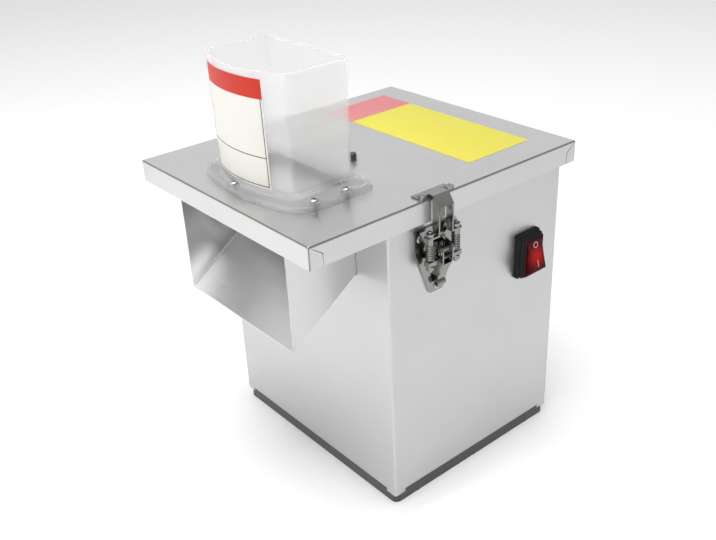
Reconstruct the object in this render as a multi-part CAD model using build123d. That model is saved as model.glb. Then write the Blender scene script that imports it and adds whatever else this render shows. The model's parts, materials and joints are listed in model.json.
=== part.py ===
from build123d import *
from math import asin, cos, radians, sin, sqrt, tan
import os

# Vegetable cutting machine with a lid mounted hopper, a slicing disc over a fixed dicing grid,
# a discharge chute under the front overhang and a belt drive inside a folded steel body.
# The origin is the centre of the underside of the base pad, with +Z up. The chute faces -Y.
# The switch and the latch are on the +X side, and the lid hinges along the -X side.
# Every size is in millimetres.

# Overall sizes
body_width = 241.0
body_depth = 211.0
pad_height = 12.0
lid_top = 297.0
lid_rim = 19.5
front_overhang = 80.0
rear_overhang = 14.0
side_overhang = 4.5
hopper_height = 105.0

# Sheet metal
sheet = 1.2
bend = 2.4
lid_bend = 1.8
pan_sheet = 1.5
flange_width = 14.0
pad_inset = 1.5
pad_corner = 6.0
corner_tab_width = 12.0
corner_tab_drop = 2.0

# Clearances
slip = 0.3
lid_gap = 1.2
running_gap = 0.05
seat_gap = 0.02

# Cutting pan, disc and grid
pan_drop = 1.0
cutter_behind_lid_front = 141.0
disc_radius = 114.0
disc_thickness = 2.5
disc_over_pan = 2.0
slice_height = 9.5
disc_slot_width = 24.0
dice_pitch = 10.0
grid_height = 13.0
grid_wall = 4.0
grid_blade = 1.0
grid_margin = 2.0
grid_ear_reach = 5.5
grid_ear_radius = 6.5
clamp_reach = 30.0

# Hopper
hopper_half_width = 55.0
hopper_front = 26.5
hopper_back = 101.5
hopper_arc = 115.0
hopper_wall = 2.6
hopper_draft = 0.8
hopper_corner = 5.0
hopper_flange = 5.0
hopper_flange_left_margin = 11.0
hopper_flange_right_margin = 26.0
hopper_flange_front = 14.3
hopper_flange_back = 107.0
hopper_flange_arc = 180.0
hopper_boss = 7.5
hopper_step = 5.0

# Chute
chute_side_room = 4.8
chute_front_inset = 10.0
chute_front_drop = 115.5
chute_slope = 34.5
chute_back = 107.0
chute_hem = 8.0

# Shaft, bearings and belt drive
shaft_radius = 7.5
bearing_radius = 17.5
bearing_width = 11.0
bearing_barrel = 23.0
bearing_barrel_length = 58.0
bearing_flange_radius = 32.5
bearing_flange_thickness = 6.0
bearing_bolt_circle = 27.5
large_pulley_radius = 48.0
small_pulley_radius = 19.2
pulley_width = 16.0
pulley_flange = 3.0
belt_width = 12.0
belt_thickness = 2.6
motor_back = 42.0
motor_radius = 52.0
motor_length = 70.0
motor_cap = 12.0
motor_shaft_radius = 6.0
bracket_drop = 106.5
bracket_sheet = 3.0
bracket_half_width = 66.0
shaft_drop = 94.5

# Lid hinge
hinge_knuckle = 3.4
hinge_pin = 2.0
hinge_length = 60.0
hinge_spacing = 180.0
hinge_leaf = 1.5
hinge_below_rim = 4.0

# Toggle latch
latch_back = 131.0
latch_base_sheet = 1.5
strike_sheet = 1.2
latch_half_width = 24.0
latch_reach = 11.0
latch_pivot_drop = 46.0
latch_crank = 8.1
latch_rod_spacing = 29.4
latch_rod = 1.6
latch_spring_radius = 3.8
latch_spring_wire = 0.6
latch_spring_turns = 5
claw_half_width = 8.5
claw_reach = 4.5
claw_out = 7.6
claw_drop = 7.8
lever_half_width = 6.2
lever_length = 31.0
latch_pin = 2.0
crossbar_journal = 2.0

# Rocker switch
switch_back = 246.9
switch_drop = 94.4
bezel_width = 30.0
bezel_height = 44.0
bezel_rim = 3.0
rocker_width = 19.6
rocker_radius = 18.6
rocker_tilt = 13.0
rocker_face = 11.0
rocker_pin = 1.5

# Cable entry, capacitor and the bolt behind the hopper
gland_x = 70.0
gland_z = 45.0
gland_thread = 8.0
gland_bore = 3.6
capacitor_radius = 17.5
capacitor_height = 66.0
capacitor_place = (-80.0, -55.0)
stud_x = 14.5
stud_behind_lid_front = 134.0
stud_head = 3.4
lid_stud_radius = 2.5

# Fasteners
screw_radius = 2.0
rivet_radius = 1.6
small_rivet_radius = 1.3
clamp_bolt_radius = 2.5
hole_gap = 0.1
rivet_gap = 0.05

# Derived places
body_front = -body_depth / 2
body_back = body_depth / 2
body_side = body_width / 2
body_bottom = pad_height
body_top = lid_top - lid_rim + pan_drop
pan_floor = body_top + pan_sheet
lid_front = body_front - front_overhang
lid_back = body_back + rear_overhang
lid_side = body_side + side_overhang
lid_under = lid_top - sheet
cutter_y = lid_front + cutter_behind_lid_front
disc_bottom = pan_floor + disc_over_pan
disc_top = disc_bottom + disc_thickness
floor_plate_top = body_bottom + sheet + latch_base_sheet
bracket_height = body_top - bracket_drop
shaft_bottom = body_top - shaft_drop
latch_y = lid_front + latch_back
switch_y = lid_front + switch_back
switch_z = lid_top - switch_drop
lid_stud_place = (stud_x, lid_front + stud_behind_lid_front)
grid_ear = grid_wall + grid_ear_reach
hopper_flange_left = hopper_half_width + hopper_flange_left_margin
hopper_flange_right = hopper_half_width + hopper_flange_right_margin
chute_front_height = lid_top - chute_front_drop
chute_width = 2 * (hopper_half_width + grid_margin + grid_ear + grid_ear_radius + chute_side_room + sheet)
screw_hole = screw_radius + hole_gap
rivet_hole = rivet_radius + rivet_gap
small_rivet_hole = small_rivet_radius + rivet_gap
clamp_hole = clamp_bolt_radius + hole_gap


def block(x, y, z):
    """A box between two x, two y and two z values."""
    size = (x[1] - x[0], y[1] - y[0], z[1] - z[0])
    middle = ((x[0] + x[1]) / 2, (y[0] + y[1]) / 2, (z[0] + z[1]) / 2)
    return Pos(*middle) * Box(*size)


def bar(radius, start, end):
    """A round bar from one point to another."""
    a, b = Vector(*start), Vector(*end)
    plane = Plane(origin=a, z_dir=b - a)
    return extrude(plane * Circle(radius), amount=(b - a).length)


def tube(outer, inner, start, end):
    """A round tube from one point to another."""
    return bar(outer, start, end) - bar(inner, start, end)


def side_plate(points, x, thickness):
    """A plate with an outline of (y, z) points, from x towards +X."""
    outline = Polyline([(x, y, z) for y, z in points], close=True)
    return extrude(make_face(outline), amount=thickness, dir=(1, 0, 0))


def cross_plate(points, y, thickness):
    """A plate with an outline of (x, z) points, from y towards +Y."""
    outline = Polyline([(x, y, z) for x, z in points], close=True)
    return extrude(make_face(outline), amount=thickness, dir=(0, 1, 0))


def flat_plate(points, z, thickness):
    """A plate with an outline of (x, y) points, from z upwards."""
    outline = Polyline([(x, y, z) for x, y in points], close=True)
    return extrude(make_face(outline), amount=thickness, dir=(0, 0, 1))


def screw(place, direction, shank, length, head, head_height):
    """A pan head screw whose head seats at a place, with the shank along a direction."""
    at, along = Vector(*place), Vector(*direction).normalized()
    body = bar(head, at, at - along * head_height)
    body = chamfer(body.edges().sort_by(Axis(at, along))[0], head_height * 0.45)
    return body + bar(shank, at - along * 0.1, at + along * length)


def hex_bolt(place, direction, shank, length, across, head_height):
    """A hexagon bolt whose head seats at a place, with the shank along a direction."""
    at, along = Vector(*place), Vector(*direction).normalized()
    plane = Plane(origin=at, z_dir=along * -1)
    head = extrude(plane * RegularPolygon(across / sqrt(3), 6), amount=head_height)
    return head + bar(shank, at - along * 0.1, at + along * length)


def group(shapes):
    """Separate solids that share one file."""
    return Compound(children=[solid for shape in shapes for solid in shape.solids()])


def write(name, shape):
    """Writes one piece to the parts folder."""
    export_step(shape, f"parts/{name}.step")


def folded_box(x, y, z, radius, wall):
    """A closed box of sheet with rounded bends on all its edges."""
    outer = block(x, y, z)
    outer = fillet(outer.edges(), radius)
    inner = block((x[0] + wall, x[1] - wall), (y[0] + wall, y[1] - wall), (z[0] + wall, z[1] - wall))
    return outer - fillet(inner.edges(), radius - wall)


def base_pad():
    """The moulded base tray that the machine stands on, hollow underneath with ribs."""
    half_x, half_y = body_side - pad_inset, body_depth / 2 - pad_inset
    wall, deck, rib = 5.0, 4.0, 3.0
    pad = block((-half_x, half_x), (-half_y, half_y), (0, pad_height))
    pad = fillet(pad.edges().filter_by(Axis.Z), pad_corner)
    hollow = block((-half_x + wall, half_x - wall), (-half_y + wall, half_y - wall), (0, pad_height - deck))
    pad -= fillet(hollow.edges().filter_by(Axis.Z), 2.0)
    for x in (-half_x / 3, half_x / 3):
        pad += block((x - rib / 2, x + rib / 2), (-half_y + 1, half_y - 1), (0, pad_height - 1))
    pad += block((-half_x + 1, half_x - 1), (-rib / 2, rib / 2), (0, pad_height - 1))
    for x, y in base_screw_places():
        pad += bar(7.0, (x, y, 0), (x, y, pad_height - 1))
    for x, y in base_screw_places():
        pad -= bar(4.6, (x, y, -1), (x, y, 5.0))
        pad -= bar(2.4, (x, y, -1), (x, y, pad_height + 1))
    for y in (-45, 45):
        for column in range(5):
            x = -24 + 12 * column
            pad -= block((x - 2, x + 2), (y - 22, y + 22), (-1, pad_height + 1))
    return pad


def base_screw_places():
    """Where the base pad is screwed to the bottom flanges."""
    inset = sheet + flange_width / 2
    xs = (-body_side + inset, body_side - inset)
    ys = (body_front + 30, 0, body_back - 30)
    return [(x, y) for x in xs for y in ys]


def base_plate():
    """The steel floor plate on the bottom flanges, with vent slots under the motor."""
    gap = sheet + bend + 0.4
    x, y = body_side - gap, (body_front + gap, body_back - gap - sheet)
    z = body_bottom + sheet
    plate = block((-x, x), y, (z, z + latch_base_sheet))
    for place in base_screw_places():
        plate -= bar(screw_hole, (*place, z - 1), (*place, z + 3))
    for row in (-45, 45):
        for column in range(5):
            at = -24 + 12 * column
            plate -= block((at - 2, at + 2), (row - 22, row + 22), (z - 1, z + 3))
    return plate


def base_screws():
    """Screws up through the base pad and the bottom flanges into the floor plate."""
    places = base_screw_places()
    return group([screw((x, y, 5.0), (0, 0, 1), screw_radius, 14.0, 4.0, 2.4) for x, y in places])


def housing_shell():
    """The folded body: front and sides in one, with inward flanges at top, bottom and back."""
    back = body_back - sheet
    side, z = body_side, (body_bottom, body_top)
    shell = folded_box((-side, side), (body_front, back), z, bend, sheet)
    lip = sheet + flange_width
    inside_x = (-side + lip, side - lip)
    inside_y = (body_front + lip, back - lip)
    shell -= block(inside_x, inside_y, (z[0] - 1, z[1] + 1))
    shell -= block(inside_x, (0, back + 1), (z[0] + lip, z[1] - lip))
    # The front flange is wider at its ends and gone where the chute passes
    reach = chute_width / 2 + slip
    sill = chute_floor_at(body_front) - sheet / cos(radians(chute_slope)) - 2.0
    shell -= block((-reach, reach), (body_front - 1, body_front + lip + 1), (sill, z[1] + 1))
    # The corners keep short tabs that hang past the bends and hide the top of the pad
    for sx in (-1, 1):
        shell += corner_tab(sx, body_front, 1)
        x = sorted((sx * side, sx * (side - sheet)))
        shell += block(x, (back - corner_tab_width, back), (z[0] - corner_tab_drop, z[0] + bend))
    # Openings for the switch, and holes for the latch, hinge and base screws
    shell -= switch_cutout(side - 5, side + 5)
    for x, y in base_screw_places():
        shell -= bar(screw_hole, (x, y, z[0] - 1), (x, y, z[0] + 3))
    for x, y, height in latch_rivet_places():
        shell -= bar(rivet_hole, (x - 4, y, height), (x + 4, y, height))
    for y, height in body_hinge_rivet_places():
        shell -= bar(rivet_hole, (-side - 4, y, height), (-side + 4, y, height))
    for x, y in pan_screw_places():
        shell -= bar(screw_hole, (x, y, z[1] - 4), (x, y, z[1] + 2))
    for x, height in rear_screw_places():
        shell -= bar(1.8, (x, back - 4, height), (x, back + 2, height))
    # Louvre slots low on the blind side, for cooling air
    for column in range(7):
        y = 15 + 11 * column
        slot = block((-side - 2, -side + 3), (y - 2.2, y + 2.2), (40, 92))
        shell -= fillet(slot.edges().filter_by(Axis.X), 2.1)
    return shell


def corner_tab(sx, y, sy):
    """One lower corner of the body: an angle of sheet that hangs below the bend."""
    x = sx * body_side
    low, high = body_bottom - corner_tab_drop, body_bottom + bend + 2
    outer = block(
        sorted((x, x - sx * corner_tab_width)), sorted((y, y + sy * corner_tab_width)), (low, high)
    )
    corner = outer.edges().filter_by(Axis.Z).sort_by_distance((x, y, low))[0]
    outer = fillet(corner, bend)
    inner = block(
        sorted((x - sx * sheet, x - sx * 2 * corner_tab_width)),
        sorted((y + sy * sheet, y + sy * 2 * corner_tab_width)),
        (low - 1, high + 1),
    )
    corner = inner.edges().filter_by(Axis.Z).sort_by_distance((x, y, low))[0]
    return outer - fillet(corner, bend - sheet)


def rear_screw_places():
    """Where the rear panel is screwed to the rear flanges."""
    x = body_side - sheet - flange_width / 2
    middle = (body_bottom + body_top) / 2
    return [(s * x, z) for s in (-1, 1) for z in (body_bottom + 18, middle, body_top - 18)]


def rear_panel():
    """The removable back cover with cooling slots and the cable entry."""
    edge = 1.5
    y = (body_back - sheet, body_back)
    x = body_side - edge
    panel = block((-x, x), y, (body_bottom + edge, body_top - edge))
    panel = fillet(panel.edges().filter_by(Axis.Y), 3.0)
    for row in range(3):
        for column in range(9):
            at_x, at_z = -56 + 14 * column, 150 + 22 * row
            slot = block((at_x - 2, at_x + 2), (y[0] - 1, y[1] + 1), (at_z - 8, at_z + 8))
            panel -= fillet(slot.edges().filter_by(Axis.Y), 1.95)
    for at_x, at_z in rear_screw_places():
        panel -= bar(1.8, (at_x, y[0] - 1, at_z), (at_x, y[1] + 1, at_z))
    panel -= bar(gland_thread + slip, (gland_x, y[0] - 1, gland_z), (gland_x, y[1] + 1, gland_z))
    return panel


def rear_screws():
    """Screws that hold the rear panel."""
    places = rear_screw_places()
    return group([screw((x, body_back, z), (0, -1, 0), 1.7, 6.0, 3.6, 2.2) for x, z in places])


def cable_gland():
    """The cable entry in the rear panel: body, hexagon, domed cap and an open bore."""
    y = body_back
    plane = Plane(origin=(gland_x, y, gland_z), z_dir=(0, 1, 0))
    gland = extrude(plane * RegularPolygon(11.0, 6), amount=5.0)
    cap = bar(9.6, (gland_x, y + 5, gland_z), (gland_x, y + 14, gland_z))
    gland += fillet(cap.edges().sort_by(Axis.Y)[-1], 3.0)
    gland += bar(gland_thread, (gland_x, y - 8, gland_z), (gland_x, y + 1, gland_z))
    return gland - bar(gland_bore, (gland_x, y - 9, gland_z), (gland_x, y + 20, gland_z))


def gland_nut():
    """The lock nut of the cable entry, inside the rear panel."""
    y = body_back - sheet
    plane = Plane(origin=(gland_x, y, gland_z), z_dir=(0, -1, 0))
    nut = extrude(plane * RegularPolygon(11.0, 6), amount=4.0)
    return nut - bar(gland_thread + running_gap, (gland_x, y - 5, gland_z), (gland_x, y + 1, gland_z))


def chute_floor_at(y):
    """Height of the top of the chute floor at a depth."""
    front = lid_front + chute_front_inset
    return chute_front_height + (y - front) * tan(radians(chute_slope))


def discharge_chute():
    """The folded chute: a sloping floor, two side walls, a back wall and fixing flanges."""
    front, rear = lid_front + chute_front_inset, lid_front + chute_back
    half, top = chute_width / 2, body_top
    rise = sheet / cos(radians(chute_slope))
    low, high = chute_floor_at(front), chute_floor_at(rear)
    outer = [(front, low - rise), (rear, high - rise), (rear, top), (front, top)]
    inner = [
        (front - 1, low - tan(radians(chute_slope))),
        (rear - sheet, chute_floor_at(rear - sheet)),
        (rear - sheet, top + 1),
        (front - 1, top + 1),
    ]
    chute = side_plate(outer, -half, chute_width)
    chute -= side_plate(inner, -half + sheet, chute_width - 2 * sheet)
    # The front edge of the floor is hemmed under
    along = Vector(0, cos(radians(chute_slope)), sin(radians(chute_slope)))
    down = Vector(0, sin(radians(chute_slope)), -cos(radians(chute_slope)))
    start = Vector(0, front, low)
    corners = [start + down * sheet * 0.9, start + along * chute_hem + down * sheet * 0.9]
    corners += [corners[1] + down * sheet, corners[0] + down * sheet]
    chute += side_plate([(p.Y, p.Z) for p in corners], -half, chute_width)
    # Flanges under the pan, turned outwards
    for sx in (-1, 1):
        x = sorted((sx * half, sx * (half + 13.0)))
        chute += block(x, (front, body_front - 1.0), (top - sheet, top))
    for x, y in chute_screw_places():
        chute -= bar(screw_hole, (x, y, top - 3), (x, y, top + 1))
    return chute


def chute_screw_places():
    """Where the chute hangs from the pan."""
    x = chute_width / 2 + 7.0
    return [(s * x, y) for s in (-1, 1) for y in (lid_front + 22, lid_front + 62)]


def chute_screws():
    """Bolts up through the chute flanges into the pan."""
    z = body_top - sheet
    length = sheet + pan_sheet + disc_over_pan - 0.5
    places = chute_screw_places()
    return group([hex_bolt((x, y, z), (0, 0, 1), screw_radius, length, 7.0, 2.8) for x, y in places])


def hopper_outline(z, grow):
    """The plan of the hopper at a height: a curved front, flat sides and a flat back."""
    half = hopper_half_width + grow
    front, back = lid_front + hopper_front - grow, lid_front + hopper_back + grow
    radius = hopper_arc + grow
    drop = radius - sqrt(radius**2 - half**2)
    left, right = (-half, front + drop, z), (half, front + drop, z)
    arc = ThreePointArc(left, (0, front, z), right)
    rest = Polyline(right, (half, back, z), (-half, back, z), left)
    face = make_face(Curve() + [arc, rest])
    return fillet(face.vertices(), hopper_corner + grow)


def hopper():
    """The clear moulded hopper: drafted walls, a stepped foot and a screwed flange."""
    base, top = lid_top, lid_top + hopper_height
    spread = hopper_height * tan(radians(hopper_draft))
    walls = loft([hopper_outline(base, 0), hopper_outline(top, spread)])
    walls += extrude(hopper_outline(base, hopper_step), amount=hopper_flange + 1.8)
    flange = extrude(hopper_flange_outline(base), amount=hopper_flange)
    rim = flange.edges().group_by(Axis.Z)[-1]
    walls += fillet(rim, 1.2)
    for x, y in hopper_screw_places():
        walls += bar(5.4, (x, y, base), (x, y, base + hopper_boss))
    x, y = hopper_locating_place()
    walls += tube(11.5, 9.7, (x, y, base), (x, y, base + hopper_flange + 1.6))
    walls -= loft([hopper_outline(base, -hopper_wall), hopper_outline(top, spread - hopper_wall)])
    for x, y in hopper_screw_places():
        walls -= bar(2.2, (x, y, base - 1), (x, y, base + hopper_boss + 1))
    return walls


def hopper_flange_outline(z):
    """The plan of the hopper flange: wide on the latch side, with a curved front."""
    left, right = -hopper_flange_left, hopper_flange_right
    middle = (left + right) / 2
    front, back = lid_front + hopper_flange_front, lid_front + hopper_flange_back
    half = (right - left) / 2
    drop = hopper_flange_arc - sqrt(hopper_flange_arc**2 - half**2)
    a, b = (left, front + drop, z), (right, front + drop, z)
    arc = ThreePointArc(a, (middle, front, z), b)
    face = make_face(Curve() + [arc, Polyline(b, (right, back, z), (left, back, z), a)])
    face = fillet(face.vertices().sort_by(Axis.Y)[:2], 26.0)
    return fillet(face.vertices().sort_by(Axis.Y)[-2:], 13.0)


def hopper_screw_places():
    """Where the hopper is screwed to the lid."""
    right = hopper_flange_right - 5.0
    left = -hopper_flange_left + 5.0
    front = lid_front + hopper_flange_front + 5.0
    return [(right, lid_front + 44), (right, lid_front + 76), (0.0, front), (left, lid_front + 60)]


def hopper_locating_place():
    """The round locating boss at the back corner of the hopper flange."""
    return hopper_flange_right - 15.0, lid_front + hopper_flange_back - 14.0


def hopper_screws():
    """Screws down through the hopper bosses, flush under the lid so that they clear the blade."""
    z = lid_top + hopper_boss
    length = hopper_boss + sheet
    places = hopper_screw_places()
    return group([screw((x, y, z), (0, 0, -1), screw_radius, length, 3.8, 2.0) for x, y in places])


def lid_panel():
    """The folded lid: a flat top, a deep rim and corner tabs with their seams."""
    x, y = (-lid_side, lid_side), (lid_front, lid_back)
    low = lid_top - lid_rim
    lid = block(x, y, (low, lid_top))
    lid = fillet(lid.edges().filter_by(Axis.Z) + lid.edges().group_by(Axis.Z)[-1], lid_bend)
    inner = block(
        (x[0] + sheet, x[1] - sheet), (y[0] + sheet, y[1] - sheet), (low - 5, lid_under)
    )
    edges = inner.edges().filter_by(Axis.Z) + inner.edges().group_by(Axis.Z)[-1]
    lid -= fillet(edges, lid_bend - sheet)
    lid -= extrude(hopper_outline(lid_under - 1, -hopper_wall), amount=sheet + 2)
    for place in hopper_screw_places():
        lid -= bar(2.2, (*place, lid_under - 1), (*place, lid_top + 1))
    lid -= bar(lid_stud_radius, (*lid_stud_place, lid_under - 1), (*lid_stud_place, lid_top + 1))
    for place in strike_rivet_places():
        lid -= bar(small_rivet_hole, (*place, lid_under - 1), (*place, lid_top + 1))
    height = lid_hinge_rivet_height()
    for at in hinge_rivet_rows():
        lid -= bar(small_rivet_hole, (-lid_side - 2, at, height), (-lid_side + 3, at, height))
    # Seams between the side rims and the tabs that wrap round from the front and back
    for sx in (-1, 1):
        for edge, sy in ((lid_front, 1), (lid_back, -1)):
            lid -= corner_seam(sx, edge, sy)
    return lid


def corner_seam(sx, edge, sy):
    """The open seam round one corner tab of the lid."""
    tab, drop, width = 13.0, 8.7, 0.5
    start = 3.0
    x = sorted((sx * (lid_side - 2 * sheet), sx * (lid_side + 1)))
    low = lid_top - lid_rim - 1
    slope = (drop - 2.0) / (tab - start)
    points = [(start, lid_top - 2.0), (tab, lid_top - drop), (tab, low), (tab - width, low)]
    points += [(tab - width, lid_top - drop - width * 0.9), (start, lid_top - 2.0 - width)]
    outline = [(edge + sy * y, z) for y, z in points]
    return side_plate(outline, x[0], x[1] - x[0])


def lid_stud():
    """The dark bolt that stands on the lid behind the hopper."""
    x, y = lid_stud_place
    stud = bar(stud_head, (x, y, lid_top), (x, y, lid_top + 6.5))
    stud = fillet(stud.edges().sort_by(Axis.Z)[-1], 1.6)
    return stud + bar(lid_stud_radius - 0.1, (x, y, lid_under - 4.0), (x, y, lid_top + 0.5))


def lid_stud_nut():
    """The nut under the lid that holds the dark bolt."""
    x, y = lid_stud_place
    plane = Plane(origin=(x, y, lid_under), z_dir=(0, 0, -1))
    nut = extrude(plane * RegularPolygon(4.8, 6), amount=3.0)
    return nut - bar(lid_stud_radius, (x, y, lid_under - 5), (x, y, lid_under + 1))


def cutting_pan():
    """The pan under the lid: a floor over the body and the overhang, with upturned walls."""
    gap = sheet + lid_gap
    x = (-lid_side + gap, lid_side - gap)
    y = (lid_front + gap, lid_back - gap)
    top = lid_under - slip
    pan = block(x, y, (body_top, top))
    pan = fillet(pan.edges().filter_by(Axis.Z), 3.0)
    pan = fillet(pan.edges().group_by(Axis.Z)[0], 1.8)
    inner = block(
        (x[0] + pan_sheet, x[1] - pan_sheet), (y[0] + pan_sheet, y[1] - pan_sheet), (pan_floor, top + 5)
    )
    inner = fillet(inner.edges().filter_by(Axis.Z), 1.5)
    pan -= inner
    gx, gy = grid_opening()
    pan -= block(gx, gy, (body_top - 1, pan_floor + 1))
    pan -= bar(shaft_radius + 3.0, (0, cutter_y, body_top - 1), (0, cutter_y, pan_floor + 1))
    # A low weir round the shaft keeps juice out of the bearing
    pan += tube(
        shaft_radius + 4.5, shaft_radius + 3.0, (0, cutter_y, body_top), (0, cutter_y, pan_floor + 1.2)
    )
    places = pan_screw_places() + bearing_bolt_places() + bracket_bolt_places() + chute_screw_places()
    for place in places:
        pan -= bar(screw_hole, (*place, body_top - 1), (*place, pan_floor + 2))
    for place in grid_clamp_places():
        pan -= bar(clamp_hole, (*place, body_top - 1), (*place, pan_floor + 2))
    return pan


def grid_opening():
    """The x and y spans of the opening over the dicing grid."""
    half = hopper_half_width + grid_margin
    return (-half, half), (lid_front + hopper_front + 1.0, lid_front + hopper_back - 1.0)


def pan_screw_places():
    """Where the pan is screwed to the top flanges of the body."""
    x = body_side - sheet - flange_width / 2
    return [(s * x, y) for s in (-1, 1) for y in (body_front + 12, 0, body_back - 24)]


def pan_screws():
    """Screws down through the pan into the body, the bearing housing and the motor bracket."""
    runs = (
        (pan_screw_places(), sheet + 2.5),
        (bearing_bolt_places(), bearing_flange_thickness + 3.0),
        (bracket_bolt_places(), bracket_sheet + 3.0),
    )
    return group(
        [
            screw((*place, pan_floor), (0, 0, -1), screw_radius, pan_sheet + depth, 3.8, 1.4)
            for places, depth in runs
            for place in places
        ]
    )


def grid_frame():
    """The cast frame under the pan that holds the two sets of dicing blades."""
    gx, gy = grid_opening()
    z = (body_top - grid_height, body_top)
    frame = block((gx[0] - grid_wall, gx[1] + grid_wall), (gy[0] - grid_wall, gy[1] + grid_wall), z)
    frame = fillet(frame.edges().filter_by(Axis.Z), 3.0)
    for x, y in grid_clamp_places():
        frame += bar(grid_ear_radius, (x, y, z[1] - 5.0), (x, y, z[1]))
        inner = sorted((x, x - 9.0 if x > 0 else x + 9.0))
        frame += block(inner, (y - grid_ear_radius, y + grid_ear_radius), (z[1] - 5.0, z[1]))
    frame -= block(gx, gy, (z[0] - 1, z[1] + 1))
    middle = (z[0] + z[1]) / 2
    for y in grid_rows():
        half = grid_blade / 2 + seat_gap
        x = (gx[0] - grid_wall / 2 - seat_gap, gx[1] + grid_wall / 2 + seat_gap)
        frame -= block(x, (y - half, y + half), (middle, z[1] + 1))
    for x in grid_columns():
        half = grid_blade / 2 + seat_gap
        y = (gy[0] - grid_wall / 2 - seat_gap, gy[1] + grid_wall / 2 + seat_gap)
        frame -= block((x - half, x + half), y, (z[0] + 0.8, middle))
    for x, y in grid_clamp_places():
        frame -= bar(clamp_hole, (x, y, z[0] - 1), (x, y, z[1] + 1))
    return frame


def grid_rows():
    """Depths of the upper blades, which run across the machine."""
    gy = grid_opening()[1]
    count = int((gy[1] - gy[0]) // dice_pitch)
    start = (gy[0] + gy[1]) / 2 - (count - 1) * dice_pitch / 2
    return [start + dice_pitch * i for i in range(count)]


def grid_columns():
    """Places of the lower blades, which run from front to back."""
    gx = grid_opening()[0]
    count = int((gx[1] - gx[0]) // dice_pitch)
    return [dice_pitch * (i - (count - 1) / 2) for i in range(count)]


def knife(along_x, at, span, low, high):
    """One blade of the grid, ground to an edge at its top."""
    half, edge = grid_blade / 2, high - 2.0
    points = [(at - half, low), (at + half, low), (at + half, edge), (at, high), (at - half, edge)]
    if along_x:
        return side_plate(points, span[0], span[1] - span[0])
    return cross_plate(points, span[0], span[1] - span[0])


def grid_blades_across():
    """The upper dicing blades."""
    gx = grid_opening()[0]
    span = (gx[0] - grid_wall / 2, gx[1] + grid_wall / 2)
    middle = body_top - grid_height / 2
    return group([knife(True, y, span, middle, body_top - 0.2) for y in grid_rows()])


def grid_blades_along():
    """The lower dicing blades."""
    gy = grid_opening()[1]
    span = (gy[0] - grid_wall / 2, gy[1] + grid_wall / 2)
    low, middle = body_top - grid_height + 0.8, body_top - grid_height / 2
    return group([knife(False, x, span, low, middle) for x in grid_columns()])


def grid_clamp_places():
    """Where the grid frame is bolted to the pan."""
    gx, gy = grid_opening()
    x = gx[1] + grid_ear
    return [(s * x, y) for s in (-1, 1) for y in (gy[0] + 4.0, gy[1] - 12.0)]


def grid_clamp_bolts():
    """Long bolts down through the pan and the grid frame."""
    bolts = []
    for x, y in grid_clamp_places():
        bolts.append(screw((x, y, pan_floor), (0, 0, -1), clamp_bolt_radius, clamp_reach, 4.4, 1.6))
    return group(bolts)


def grid_clamp_nuts():
    """Wing nuts under the ears of the grid frame."""
    nuts = []
    for x, y in grid_clamp_places():
        z = body_top - 5.0
        nut = bar(4.5, (x, y, z - 6.0), (x, y, z))
        for s in (-1, 1):
            wing = [(y + s * a, z - b) for a, b in ((3.5, 1.0), (9.0, 5.0), (9.5, 9.0), (3.5, 5.5))]
            nut += side_plate(wing, x - 0.9, 1.8)
        nuts.append(nut - bar(clamp_bolt_radius + running_gap, (x, y, z - 10), (x, y, z + 1)))
    return group(nuts)


def slicing_disc():
    """The slicing disc: a flat plate with a hub, a discharge slot and its pressing ramp."""
    disc = bar(disc_radius, (0, cutter_y, disc_bottom), (0, cutter_y, disc_top))
    disc += bar(19.0, (0, cutter_y, disc_bottom), (0, cutter_y, disc_top + 3.0))
    slot = block((-disc_slot_width / 2, disc_slot_width / 2), (24.0, disc_radius - 7.0), (-1, 5))
    slot = fillet(slot.edges().filter_by(Axis.Z), 4.0)
    disc -= Pos(0, cutter_y, disc_bottom) * slot
    for x in (-1, 1):
        for y in blade_screw_radii():
            place = (blade_foot_x(), cutter_y + y)
            disc -= bar(1.6, (*place, disc_bottom - 1), (*place, disc_top + 1))
    bore = shaft_radius + running_gap
    return disc - bar(bore, (0, cutter_y, disc_bottom - 5), (0, cutter_y, disc_top + 9))


def blade_foot_x():
    """Where the feet of the slicing blade are screwed to the disc."""
    return disc_slot_width / 2 + 6.0


def blade_screw_radii():
    """How far from the shaft the blade screws are."""
    return (34.0, 65.0, 96.0)


def slicing_blade():
    """The slicing blade: a bevelled edge over the slot, a sloping web and a flat foot."""
    z = disc_top
    thick = 1.6
    foot = blade_foot_x()
    edge_x = -disc_slot_width / 2 + 5.0
    top = z + slice_height
    profile = [
        (foot + 5.0, z),
        (foot + 5.0, z + thick),
        (foot - 3.5, z + thick),
        (edge_x + 4.0, top),
        (edge_x, top - 0.3),
        (edge_x + 3.4, top - thick),
        (foot - 4.6, z),
    ]
    blade = cross_plate(profile, cutter_y + 26.0, disc_radius - 9.0 - 26.0)
    for y in blade_screw_radii():
        blade -= bar(1.6, (foot, cutter_y + y, z - 1), (foot, cutter_y + y, z + 4))
    return blade


def blade_screws():
    """Low screws that hold the slicing blade to the disc."""
    z = disc_top + 1.6
    foot = blade_foot_x()
    return group(
        [screw((foot, cutter_y + y, z), (0, 0, -1), 1.5, 3.9, 3.0, 1.2) for y in blade_screw_radii()]
    )


def cutter_shaft():
    """The vertical cutter shaft, stepped under the disc and threaded for the hub nut."""
    y = cutter_y
    shaft = bar(shaft_radius, (0, y, shaft_bottom), (0, y, disc_top + 3.0))
    shaft += bar(shaft_radius + 2.2, (0, y, body_top - 3.0), (0, y, disc_bottom))
    shaft += bar(4.0, (0, y, disc_top + 2.0), (0, y, disc_top + 9.5))
    return shaft


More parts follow.
